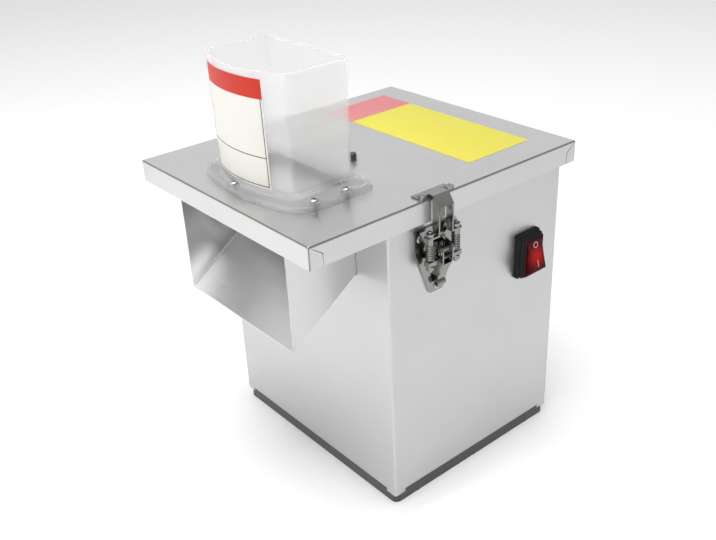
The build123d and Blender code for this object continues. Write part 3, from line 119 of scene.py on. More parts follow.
@dataclass(frozen=True)
class Finish:
    """A finish with soft uneven patches and a fine surface pattern.

    The patches change the roughness a little and the fine pattern gives a low bump.
    """

    name: str
    colour: str
    roughness: float
    metallic: float = 0.0
    variation: float = 0.03
    patch_mm: float = 45.0
    grain_mm: float = 0.8
    grain_bump: float = 0.03
    stretch: float = 1.0
    grain: Grain = Grain.X
    coat: float = 0.0
    specular: float = 0.5
    unevenness: float = 0.22
    bump_mm: float = 0.2

    def pattern_scale(self) -> Point:
        """Gives the scale of the fine pattern, longer along the grain.

        Returns:
            One factor for each axis.
        """
        scale = [1.0, 1.0, 1.0]
        scale[self.grain.value] = 1.0 / self.stretch
        return tuple(scale)

    def start(self) -> tuple[bpy.types.Material, bpy.types.NodeTree, bpy.types.Node]:
        """Makes the material with a tree that holds only its shader and its output.

        Returns:
            The material, its tree and its shader.
        """
        material = bpy.data.materials.new(self.name)
        material.use_nodes = True
        tree = material.node_tree
        tree.nodes.clear()
        shader = add_node(tree, "ShaderNodeBsdfPrincipled")
        output = add_node(tree, "ShaderNodeOutputMaterial")
        tree.links.new(shader.outputs[0], output.inputs["Surface"])
        return material, tree, shader

    def build(self) -> bpy.types.Material:
        """Makes the material.

        Returns:
            The material, ready for a piece.
        """
        material, tree, shader = self.start()
        place = add_node(tree, "ShaderNodeTexCoord").outputs["Object"]
        patches = add_node(
            tree, "ShaderNodeTexNoise", {"Vector": place, "Scale": 1 / (self.patch_mm * MM), "Detail": 3.0}
        )
        along = add_node(tree, "ShaderNodeMapping", {"Vector": place, "Scale": self.pattern_scale()})
        fine = add_node(
            tree,
            "ShaderNodeTexNoise",
            {"Vector": along.outputs[0], "Scale": 1 / (self.grain_mm * MM), "Detail": 2.0},
        )
        both = add_node(
            tree,
            "ShaderNodeMix",
            {0: 0.5, 2: patches.outputs[0], 3: fine.outputs[0]},
            data_type="FLOAT",
        )
        spread = self.roughness * self.unevenness
        rough = add_node(
            tree,
            "ShaderNodeMapRange",
            {
                "Value": both.outputs[0],
                "From Min": NOISE_LOW,
                "From Max": NOISE_HIGH,
                "To Min": max(self.roughness - spread, 0.02),
                "To Max": min(self.roughness + spread, 1.0),
            },
        )
        base = linear(self.colour)
        dark = tuple(c * (1 - self.variation) for c in base[:3]) + (1.0,)
        light = tuple(min(c * (1 + self.variation), 1.0) for c in base[:3]) + (1.0,)
        tint = add_node(tree, "ShaderNodeMix", {0: both.outputs[0], 6: dark, 7: light}, data_type="RGBA")
        bump = add_node(
            tree,
            "ShaderNodeBump",
            {"Height": fine.outputs[0], "Strength": self.grain_bump, "Distance": self.bump_mm * MM},
        )
        tree.links.new(tint.outputs[2], shader.inputs["Base Color"])
        tree.links.new(rough.outputs[0], shader.inputs["Roughness"])
        tree.links.new(bump.outputs[0], shader.inputs["Normal"])
        shader.inputs["Metallic"].default_value = self.metallic
        shader.inputs["Coat Weight"].default_value = self.coat
        if not self.metallic:
            shader.inputs["Specular IOR Level"].default_value = self.specular
        self.dress(tree, shader)
        return material

    def dress(self, tree: bpy.types.NodeTree, shader: bpy.types.Node) -> None:
        """Adds what a special finish needs. A plain one needs nothing."""


@dataclass(frozen=True)
class ClearFinish(Finish):
    """A clear moulded plastic: glassy in its thick foot, with a slight haze in its walls.

    Transmission and solid hold a value for the foot and a value for the walls. Each changes from
    the one to the other over a span of heights. The face that sits on the lid doesn't show.
    """

    transmission: Pair = (0.6, 0.0)
    solid: Pair = (0.38, 0.22)
    seat_mm: Pair = (297.1, 297.4)
    foot_mm: Pair = (304.0, 307.0)
    haze_mm: Pair = (306.0, 356.0)
    ior: float = 1.5
    scatter_mm: float = 30.0

    def dress(self, tree: bpy.types.NodeTree, shader: bpy.types.Node) -> None:
        """Lets light through the shader, with its haze scattered inside the plastic.

        Args:
            tree: The material's tree.
            shader: The material's shader.
        """
        place = add_node(tree, "ShaderNodeTexCoord").outputs["Object"]
        height = add_node(tree, "ShaderNodeSeparateXYZ", {0: place}).outputs[2]
        foot, wall = self.solid
        seat = self.change(tree, height, (0.0, foot), self.seat_mm)
        clear = self.change(tree, height, self.transmission, self.foot_mm)
        tree.links.new(clear, shader.inputs["Transmission Weight"])
        tree.links.new(self.change(tree, height, (seat, wall), self.haze_mm), shader.inputs["Alpha"])
        shader.inputs["IOR"].default_value = self.ior
        shader.inputs["Subsurface Weight"].default_value = 1.0
        shader.inputs["Subsurface Radius"].default_value = (1.0, 1.0, 1.0)
        shader.inputs["Subsurface Scale"].default_value = self.scatter_mm * MM

    @staticmethod
    def change(
        tree: bpy.types.NodeTree, height: bpy.types.NodeSocket, ends: tuple, span_mm: Pair
    ) -> bpy.types.NodeSocket:
        """Changes a value over a span of heights.

        Args:
            tree: The material's tree.
            height: The height of the shaded point.
            ends: The value, or the socket that gives it, below the span and above it.
            span_mm: Where the change starts and ends.

        Returns:
            The socket of the changing value.
        """
        low, high = (z * MM for z in span_mm)
        start, end = ends
        values = {"Value": height, "From Min": low, "From Max": high, "To Min": start, "To Max": end}
        return add_node(tree, "ShaderNodeMapRange", values).outputs[0]


@dataclass(frozen=True)
class PaintedGlowLensFinish(Finish):
    """A translucent moulded lens, deep red at its edge, with a painted glow in its middle."""

    centre: Point = (0.0, 0.0, 0.0)
    reach_mm: float = 14.0
    # The colour of the painted glow in the middle of the lens
    painted_glow_colour: str = "C00C14"

    def dress(self, tree: bpy.types.NodeTree, shader: bpy.types.Node) -> None:
        """Paints a glow into the colour towards the middle of the lens, lightening it where light would come
        through.

        Args:
            tree: The material's tree.
            shader: The material's shader.
        """
        place = add_node(tree, "ShaderNodeTexCoord").outputs["Object"]
        middle = tuple(c * MM for c in self.centre)
        away = add_node(tree, "ShaderNodeVectorMath", {0: place, 1: middle}, operation="DISTANCE")
        # Painted glow: full in the middle of the lens, fading to none at its reach
        glow = add_node(
            tree,
            "ShaderNodeMapRange",
            {
                "Value": away.outputs[1],
                "From Min": 0.0,
                "From Max": self.reach_mm * MM,
                "To Min": 1.0,
                "To Max": 0.0,
            },
            interpolation_type="SMOOTHSTEP",
        )
        deep = shader.inputs["Base Color"].links[0].from_socket
        painted_glow_colour = linear(self.painted_glow_colour)
        mix = add_node(tree, "ShaderNodeMix", {0: glow.outputs[0], 6: deep, 7: painted_glow_colour}, data_type="RGBA")
        tree.links.new(mix.outputs[2], shader.inputs["Base Color"])


@dataclass(frozen=True)
class PrintedFilm(Finish):
    """A glossy printed film: a ground colour with blocks and thin lines of ink.

    Each block is (ink, low, high) in millimetres along two axes of the object.
    """

    axes: tuple[int, int] = (0, 1)
    blocks: tuple[Block, ...] = ()

    def dress(self, tree: bpy.types.NodeTree, shader: bpy.types.Node) -> None:
        """Prints the blocks over the ground colour, one after the other.

        Args:
            tree: The material's tree.
            shader: The material's shader.
        """
        place = add_node(tree, "ShaderNodeTexCoord").outputs["Object"]
        split = add_node(tree, "ShaderNodeSeparateXYZ", {0: place})
        colour = shader.inputs["Base Color"].links[0].from_socket
        for ink, low, high in self.blocks:
            within = []
            for axis, start, end in zip(self.axes, low, high):
                middle, half = (start + end) / 2 * MM, (end - start) / 2 * MM
                near = add_node(
                    tree,
                    "ShaderNodeMath",
                    {0: split.outputs[axis], 1: middle, 2: half},
                    operation="COMPARE",
                )
                within.append(near.outputs[0])
            inside = add_node(tree, "ShaderNodeMath", {0: within[0], 1: within[1]}, operation="MULTIPLY")
            mix = add_node(
                tree,
                "ShaderNodeMix",
                {0: inside.outputs[0], 6: colour, 7: linear(ink)},
                data_type="RGBA",
            )
            colour = mix.outputs[2]
        tree.links.new(colour, shader.inputs["Base Color"])


@dataclass(frozen=True)
class PaperFinish(Finish):
    """A white studio paper that is lit a little from behind."""

    glow: float = 0.13

    def dress(self, tree: bpy.types.NodeTree, shader: bpy.types.Node) -> None:
        """Gives the paper its even glow."""
        shader.inputs["Emission Color"].default_value = linear("FFFFFF")
        shader.inputs["Emission Strength"].default_value = self.glow


# Work at the bench: selecting, shaping and finishing meshes


def only(obj: bpy.types.Object) -> bpy.types.Object:
    """Selects one object alone and makes it active.

    Args:
        obj: The object.

    Returns:
        The same object.
    """
    for other in bpy.context.selected_objects:
        other.select_set(False)
    obj.select_set(True)
    bpy.context.view_layer.objects.active = obj
    return obj


@contextmanager
def editing(obj: bpy.types.Object) -> Iterator[bmesh.types.BMesh]:
    """Opens an object in edit mode with nothing selected.

    Args:
        obj: The mesh object.

    Yields:
        Its edit mesh.
    """
    only(obj)
    bpy.ops.object.mode_set(mode="EDIT")
    bpy.ops.mesh.select_all(action="DESELECT")
    yield bmesh.from_edit_mesh(obj.data)
    bpy.ops.object.mode_set(mode="OBJECT")


def use_modifier(obj: bpy.types.Object, kind: str, **settings) -> None:
    """Adds a modifier and applies it.

    Args:
        obj: The mesh object.
        kind: The modifier's Blender type.
        settings: Properties of the modifier.
    """
    only(obj)
    modifier = obj.modifiers.new(kind.lower(), kind)
    for name, value in settings.items():
        setattr(modifier, name, value)
    bpy.ops.object.modifier_apply(modifier=modifier.name)


def smooth(obj: bpy.types.Object, angle: float = 35.0) -> bpy.types.Object:
    """Smooths the curved faces, and keeps flat faces flat beside them.

    Args:
        obj: The mesh object.
        angle: Edges sharper than this many degrees stay sharp.

    Returns:
        The same object.
    """
    only(obj)
    bpy.ops.object.shade_smooth_by_angle(angle=math.radians(angle))
    use_modifier(obj, "WEIGHTED_NORMAL", keep_sharp=True)
    return obj


def loft(name: str, rings: Sequence[Ring], closed: bool = False) -> bpy.types.Object:
    """Draws a skin through rings of points, by extruding a circle from ring to ring.

    Args:
        name: The piece's name.
        rings: Rings with equal counts of points, in millimetres.
        closed: Joins the last ring to the first. If not, both ends are filled.

    Returns:
        The closed mesh object.
    """
    bpy.ops.object.select_all(action="DESELECT")
    bpy.ops.mesh.primitive_circle_add(vertices=len(rings[0]), radius=MM)
    obj = bpy.context.object
    obj.name = obj.data.name = name
    with editing(obj) as mesh:
        bpy.ops.mesh.select_all(action="SELECT")
        put_ring(mesh, rings[0])
        for ring in rings[1:]:
            bpy.ops.mesh.extrude_region_move()
            put_ring(mesh, ring)
        bpy.ops.mesh.select_all(action="DESELECT")
        for edge in [e for e in mesh.edges if e.is_boundary]:
            edge.select = True
        if closed:
            bpy.ops.mesh.bridge_edge_loops()
        else:
            bpy.ops.mesh.edge_face_add()
            fill_ends(mesh)
        bpy.ops.mesh.select_all(action="SELECT")
        bpy.ops.mesh.normals_make_consistent(inside=False)
    return obj


def put_ring(mesh: bmesh.types.BMesh, ring: Ring) -> None:
    """Moves the selected loop of points to a ring, in order round the loop.

    Args:
        mesh: The edit mesh.
        ring: As many points as are selected, in millimetres.
    """
    chosen = [v for v in mesh.verts if v.select]
    ordered = [chosen[0]]
    while len(ordered) < len(chosen):
        last = ordered[-1]
        beside = [e.other_vert(last) for e in last.link_edges if e.select]
        ordered.append(next(v for v in beside if v not in ordered))
    for vert, point in zip(ordered, ring):
        vert.co = Vector(point) * MM
    bmesh.update_edit_mesh(bpy.context.object.data)


def fill_ends(mesh: bmesh.types.BMesh) -> None:
    """Fills the ends of a mesh that are still open."""
    open_edges = [e for e in mesh.edges if e.is_boundary]
    if open_edges:
        bmesh.ops.contextual_create(mesh, geom=open_edges)


def arc(centre: Pair, radius: float, start: float, end: float, steps: int) -> Plan:
    """Gives points on an arc, with both ends, angles in degrees."""
    angles = [math.radians(start + (end - start) * i / steps) for i in range(steps + 1)]
    return [(centre[0] + radius * math.cos(a), centre[1] + radius * math.sin(a)) for a in angles]


def d_outline(
    half: float, front: float, back: float, sweep: float, corners: Pair, middle: float = 0.0
) -> Plan:
    """Gives a D-shaped plan with a bowed front and rounded corners, anticlockwise from the right.

    Args:
        half: Half of its width.
        front: The y of the middle of the front.
        back: The y of the back.
        sweep: The radius of the front.
        corners: The radii of the front corners and of the back corners.
        middle: The x of its middle.

    Returns:
        The points, always as many.
    """
    corner_steps, bow_steps = 8, 28
    near, far = corners
    centre_y = front + sweep
    corner_y = centre_y - math.sqrt((sweep - near) ** 2 - (half - near) ** 2)
    tilt = math.degrees(math.atan2(corner_y - centre_y, half - near))
    right = arc((half - near, corner_y), near, tilt, 0.0, corner_steps)
    back_right = arc((half - far, back - far), far, 0.0, 90.0, corner_steps)
    back_left = [(-x, y) for x, y in reversed(back_right)]
    left = [(-x, y) for x, y in reversed(right)]
    bow = arc((0.0, centre_y), sweep, -180 - tilt, tilt, bow_steps)[1:-1]
    return [(x + middle, y) for x, y in right + back_right + back_left + left + bow]


def rounded_rectangle(half_a: float, half_b: float, corner: float) -> Plan:
    """Gives a rounded rectangle about the origin, anticlockwise.

    Args:
        half_a: Half of its first side.
        half_b: Half of its second side.
        corner: The radius of its corners.

    Returns:
        The points, always as many.
    """
    steps = 6
    points = []
    for quarter, (side_a, side_b) in enumerate(((1, 1), (-1, 1), (-1, -1), (1, -1))):
        centre = (side_a * (half_a - corner), side_b * (half_b - corner))
        points += arc(centre, corner, 90 * quarter, 90 * quarter + 90, steps)
    return points


def turned(name: str, profile: Sequence[Pair], at: Vector, along: Vector, steps: int) -> bpy.types.Object:
    """Turns a profile of (radius, distance) pairs round an axis, as a closed solid.

    Args:
        name: The piece's name.
        profile: Radii and distances along the axis, from one end to the other.
        at: A point of the axis, in millimetres.
        along: The direction of the axis.
        steps: How many facets it has.

    Returns:
        The mesh object.
    """
    turn = UP.rotation_difference(along).to_matrix()
    rings = []
    for radius, distance in profile:
        circle = arc((0, 0), radius, 0, 360 - 360 / steps, steps - 1)
        rings.append([tuple(at + turn @ Vector((x, y, distance))) for x, y in circle])
    return loft(name, rings)


def block(name: str, low: Sequence[float], high: Sequence[float]) -> bpy.types.Object:
    """Adds a box between two corners.

    Args:
        name: The piece's name.
        low: Its lowest corner, in millimetres.
        high: Its highest corner, in millimetres.

    Returns:
        The mesh object.
    """
    bpy.ops.object.select_all(action="DESELECT")
    middle = [(a + b) / 2 * MM for a, b in zip(low, high)]
    size = [(b - a) * MM for a, b in zip(low, high)]
    bpy.ops.mesh.primitive_cube_add(size=1, location=middle)
    obj = bpy.context.object
    obj.scale = size
    obj.name = obj.data.name = name
    bpy.ops.object.transform_apply(location=True, rotation=True, scale=True)
    return obj


def combine(obj: bpy.types.Object, others: Sequence[bpy.types.Object], how: str) -> bpy.types.Object:
    """Joins other solids to a solid, or cuts them out of it, and removes them.

    Args:
        obj: The solid that stays.
        others: The solids that join it or cut it.
        how: UNION or DIFFERENCE.

    Returns:
        The solid that stays.
    """
    for other in others:
        use_modifier(obj, "BOOLEAN", operation=how, object=other, solver="EXACT")
        bpy.data.objects.remove(other)
    return obj


def join(name: str, pieces: Sequence[bpy.types.Object]) -> bpy.types.Object:
    """Joins separate meshes into one object.

    Args:
        name: The name of the whole.
        pieces: The mesh objects.

    Returns:
        The first of them, which now holds all.
    """
    only(pieces[0])
    for piece in pieces:
        piece.select_set(True)
    bpy.ops.object.join()
    pieces[0].name = pieces[0].data.name = name
    return pieces[0]


def fit(obj: bpy.types.Object, material: bpy.types.Material, body: str, slot: str, *nodes: str) -> None:
    """Fits a finished piece to the machine.

    Args:
        obj: The piece.
        material: Its material.
        body: The body that it rides on.
        slot: Its material slot; not used.
        nodes: The nodes that it stands for.
    """
    obj.data.materials.clear()
    obj.data.materials.append(material)
    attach(obj, body)
    if nodes:
        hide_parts(*nodes)
    log.info("%s: %d faces on %s", obj.name, len(obj.data.polygons), body)


def limits(node: str) -> tuple[Vector, Vector]:
    """Gives the lowest and highest corners of a CAD node, in millimetres."""
    low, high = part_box(node)
    return low / MM, high / MM


def solids_of(node: str) -> list[tuple[Vector, Vector]]:
    """Finds the separate solids of a CAD node.

    Args:
        node: The node's name.

    Returns:
        The lowest and highest corners of each, in millimetres.
    """
    mesh = bmesh.new()
    mesh.from_mesh(frame["nodes"][node].data)
    bmesh.ops.remove_doubles(mesh, verts=mesh.verts, dist=MERGE_MM * MM)
    left, boxes = set(mesh.verts), []
    while left:
        group, queue = set(), [next(iter(left))]
        while queue:
            vert = queue.pop()
            if vert in group:
                continue
            group.add(vert)
            queue += [e.other_vert(vert) for e in vert.link_edges]
        left -= group
        low = Vector([min(v.co[i] for v in group) for i in range(3)]) / MM
        high = Vector([max(v.co[i] for v in group) for i in range(3)]) / MM
        boxes.append((low, high))
    mesh.free()
    return sorted(boxes, key=lambda box: tuple(box[0]))


# Finishes, each named for its real material


# Rolled stainless sheet, polished along one way: a satin grey with long soft highlights. The three copies
# differ in grey only as painted light and shade: lightest on the chute and base plate, middle on the lid,
# pan and hinges, darkest on the housing and rear panel
SHEET_X_PAINTED_LIGHTEST = Finish("stainless_sheet_grain_x_painted_lightest", "CFCFCF", 0.34, 1.0, 0.02, 60, 0.7, 0.02, 60.0, Grain.X)
SHEET_Y_PAINTED_MIDDLE = Finish("stainless_sheet_grain_y_painted_middle", "C9C9C9", 0.34, 1.0, 0.02, 60, 0.7, 0.02, 60.0, Grain.Y)
SHEET_Z_PAINTED_DARKEST = Finish("stainless_sheet_grain_z_painted_darkest", "C3C3C3", 0.36, 1.0, 0.02, 60, 0.7, 0.02, 60.0, Grain.Z)
# The same sheet at the lid's bends: duller, and painted darker as a painted dark reflection along each bend
BENDS_PAINTED_DARK_SHEET = Finish("stainless_sheet_at_bends_painted_dark", "8E8E8E", 0.4, 1.0, 0.03, 20, 0.5, 0.02)
# Pressed steel with nickel plating: dark with sharp bright glints
BRIGHT_STEEL = Finish("nickel_plated_steel", "8F8E8C", 0.17, 1.0, 0.04, 9, 0.3, 0.05)
# Cold-headed stainless screws, rivets and nuts: bright, slightly blurred glints
FIXING_STEEL = Finish("stainless_fixings", "ABABAC", 0.28, 1.0, 0.04, 12, 0.4, 0.05)
# Stainless plate blasted with glass beads: an even soft grey with no grain
BLASTED_STEEL = Finish("bead_blasted_stainless", "BEBEBE", 0.5, 0.9, 0.03, 30, 0.5, 0.05)
# A welded bead, brushed clean, dull and a little rippled; its pale, partly unmetallic white is a painted
# highlight along the seam
WELD_STEEL_PAINTED_HIGHLIGHT = Finish("weld_bead_painted_highlight", "EDEDED", 0.5, 0.3, 0.04, 12, 0.4, 0.05)
# Ground blades and shafts: bright, with fine lines along the grinding
BLADE_STEEL = Finish("ground_stainless", "BDBEC0", 0.22, 1.0, 0.03, 30, 0.5, 0.05, 20.0, Grain.X)
# Castings as they leave the mould: matt light grey with a fine pebbled skin
CAST_ALUMINIUM = Finish("cast_aluminium", "A9A9A8", 0.5, 1.0, 0.06, 18, 0.9, 0.25)
# Steel blackened in a hot bath: nearly black, with a dull sheen
BLACK_STEEL = Finish("blackened_steel", "505051", 0.42, 0.7, 0.08, 8, 0.4, 0.1)
# Injection-moulded polypropylene with a fine matt texture
PAD_PLASTIC = Finish("moulded_grey_polypropylene", "4A4B4C", 0.55, 0.0, 0.05, 30, 0.6, 0.2)
# Injection-moulded nylon: black with a soft sheen
BLACK_PLASTIC = Finish("moulded_black_nylon", "1B1B1C", 0.42, 0.0, 0.05, 20, 0.5, 0.12)
# Moulded silicone: deep black that hardly shines
SEAL_RUBBER = Finish("black_silicone", "0E0E0F", 0.5, 0.0, 0.05, 15, 0.5, 0.08, specular=0.25)
# A red lens with the dark inside of the switch behind it: deep at its edge, with a painted glow in its
# middle
ROCKER_PLASTIC_PAINTED_GLOW = PaintedGlowLensFinish(
    "translucent_red_polycarbonate_painted_glow",
    "4A080D",
    0.12,
    0.0,
    0.04,
    12,
    0.6,
    0.01,
    specular=0.1,
    centre=(132.0, 61.4, 203.0),
)
# Pad-printed ink on the lens: flat and pale, with the red showing through a little
MARK_INK = Finish("pale_pink_print", "D9A6A4", 0.45, 0.0, 0.04, 6, 0.3, 0.02)
# Moulded polycarbonate: see-through with a milky haze, and glassy where it is thick
CLEAR_PLASTIC = ClearFinish("clear_polycarbonate", "F2F2F2", 0.08, 0.0, 0.004, 60, 1.2, 0.01)
# Moulded neoprene: dull black
BELT_RUBBER = Finish("moulded_belt_rubber", "1A1A1A", 0.65, 0.0, 0.08, 12, 0.7, 0.3, specular=0.3)
# Stacked laminations under varnish: dark, with lines across the stack
MOTOR_VARNISH = Finish("varnished_laminations", "2D3136", 0.45, 0.5, 0.1, 10, 0.35, 0.2, 30.0, Grain.X)
# Powder-coated steel: dark grey with a fine orange-peel skin
PAINTED_STEEL = Finish("grey_powder_coat", "4E5254", 0.5, 0.0, 0.04, 25, 0.8, 0.25)
# A moulded plastic can: off-white with a soft sheen
CAPACITOR_CASE = Finish("white_moulded_case", "C9C9C2", 0.4, 0.0, 0.03, 25, 0.6, 0.05)
# Stamped brass under a thin coat of tin: pale gold
BRASS = Finish("tinned_brass", "C9B68A", 0.3, 1.0, 0.05, 8, 0.3, 0.05)
# Matt paper for the studio's floor
STUDIO_PAPER = PaperFinish("matt_white_paper", "F8F8F8", 0.8, 0.0, 0.004, 200, 3.0, 0.0, specular=0.1)

# The finishes of the CAD nodes that are carried over. A node that isn't named has FIXING_STEEL.
CARRIED = {
    "housing_shell": SHEET_Z_PAINTED_DARKEST,
    "rear_panel": SHEET_Z_PAINTED_DARKEST,
    "discharge_chute": SHEET_X_PAINTED_LIGHTEST,
    "cutting_pan": SHEET_Y_PAINTED_MIDDLE,
    "lid_panel": SHEET_Y_PAINTED_MIDDLE,
    "base_plate": SHEET_X_PAINTED_LIGHTEST,
    "base_pad": PAD_PLASTIC,
    "grid_frame": CAST_ALUMINIUM,
    "bearing_housing": CAST_ALUMINIUM,
    "motor_upper_cap": CAST_ALUMINIUM,
    "motor_lower_cap": CAST_ALUMINIUM,
    "cutter_pulley": CAST_ALUMINIUM,
    "motor_pulley": CAST_ALUMINIUM,
    "grid_blades_across": BLADE_STEEL,
    "grid_blades_along": BLADE_STEEL,
    "slicing_disc": BLASTED_STEEL,
    "slicing_blade": BLADE_STEEL,
    "cutter_shaft": BLADE_STEEL,
    "drive_belt": BELT_RUBBER,
    "motor_bracket": PAINTED_STEEL,
    "motor_stator": MOTOR_VARNISH,
    "motor_rotor": MOTOR_VARNISH,
    "motor_fan": BLACK_PLASTIC,
    "cable_gland": BLACK_PLASTIC,
    "switch_case": BLACK_PLASTIC,
    "capacitor": CAPACITOR_CASE,
    "switch_terminals": BRASS,
    "lid_stud": BLACK_STEEL,
    "latch_base": BRIGHT_STEEL,
    "latch_lever": BRIGHT_STEEL,
    "latch_claw": BRIGHT_STEEL,
    "latch_crossbar": BRIGHT_STEEL,
    "latch_rods": BRIGHT_STEEL,
    "latch_nuts": BRIGHT_STEEL,
    "latch_pivot_pin": BRIGHT_STEEL,
    "strike_plate": BRIGHT_STEEL,
    "bearing_outer_rings": BRIGHT_STEEL,
    "bearing_inner_rings": BRIGHT_STEEL,
    "hinge_lid_leaves": SHEET_Y_PAINTED_MIDDLE,
    "hinge_body_leaves": SHEET_Y_PAINTED_MIDDLE,
}


class Workshop:
    """Fits the new pieces, and carries the CAD pieces over with their real finishes."""

    def __init__(self) -> None:
        """Reads which body and slot each node has."""
        record = frame["record"]
        self.slots = {part["node"]: part["material_slot"] for part in record["subparts"]}
        self.bodies = {n: body for body, nodes in record["behaviour"]["bodies"].items() for n in nodes}
        self.materials: dict[str, bpy.types.Material] = {}
        self.done: set[str] = set()

    def material(self, finish: Finish) -> bpy.types.Material:
        """Makes a finish once and hands it out.

        Args:
            finish: The finish.

        Returns:
            Its material.
        """
        if finish.name not in self.materials:
            self.materials[finish.name] = finish.build()
        return self.materials[finish.name]

    def place(self, obj: bpy.types.Object, finish: Finish, *nodes: str, near: str = "") -> None:
        """Fits a new piece in place of nodes, or beside one.

        Args:
            obj: The finished piece.
            finish: Its finish.
            nodes: The nodes that it stands for.
            near: A node on the same body, for a piece that replaces none.
        """
        guide = nodes[0] if nodes else near
        fit(obj, self.material(finish), self.bodies[guide], self.slots[guide], *nodes)
        self.done.update(nodes)

    def carry(self) -> None:
        """Gives every node that is left a smooth copy with its finish."""
        for node, original in frame["nodes"].items():
            if node in self.done:
                continue
            copy = original.copy()
            copy.data = original.data.copy()
            copy.parent = None
            for key in list(copy.keys()):
                del copy[key]
            copy.name = copy.data.name = node + "_finished"
            bpy.context.scene.collection.objects.link(copy)
            with editing(copy):
                bpy.ops.mesh.select_all(action="SELECT")
                bpy.ops.mesh.remove_doubles(threshold=MERGE_MM * MM)
            smooth(copy)
            self.place(copy, CARRIED.get(node, FIXING_STEEL), node)
            # The lid's bends get a painted dark reflection
            if node == "lid_panel":
                self.paint_bends_dark(copy)

    def paint_bends_dark(self, obj: bpy.types.Object) -> None:
        """Gives the faces of a sheet's bends a duller finish, painted darker as a painted dark reflection
        along the bends.

        Args:
            obj: The sheet, whose flats face along the axes.
        """
        flat_enough = 0.93
        obj.data.materials.append(self.material(BENDS_PAINTED_DARK_SHEET))
        for face in obj.data.polygons:
            if max(abs(c) for c in face.normal) < flat_enough:
                face.material_index = 1


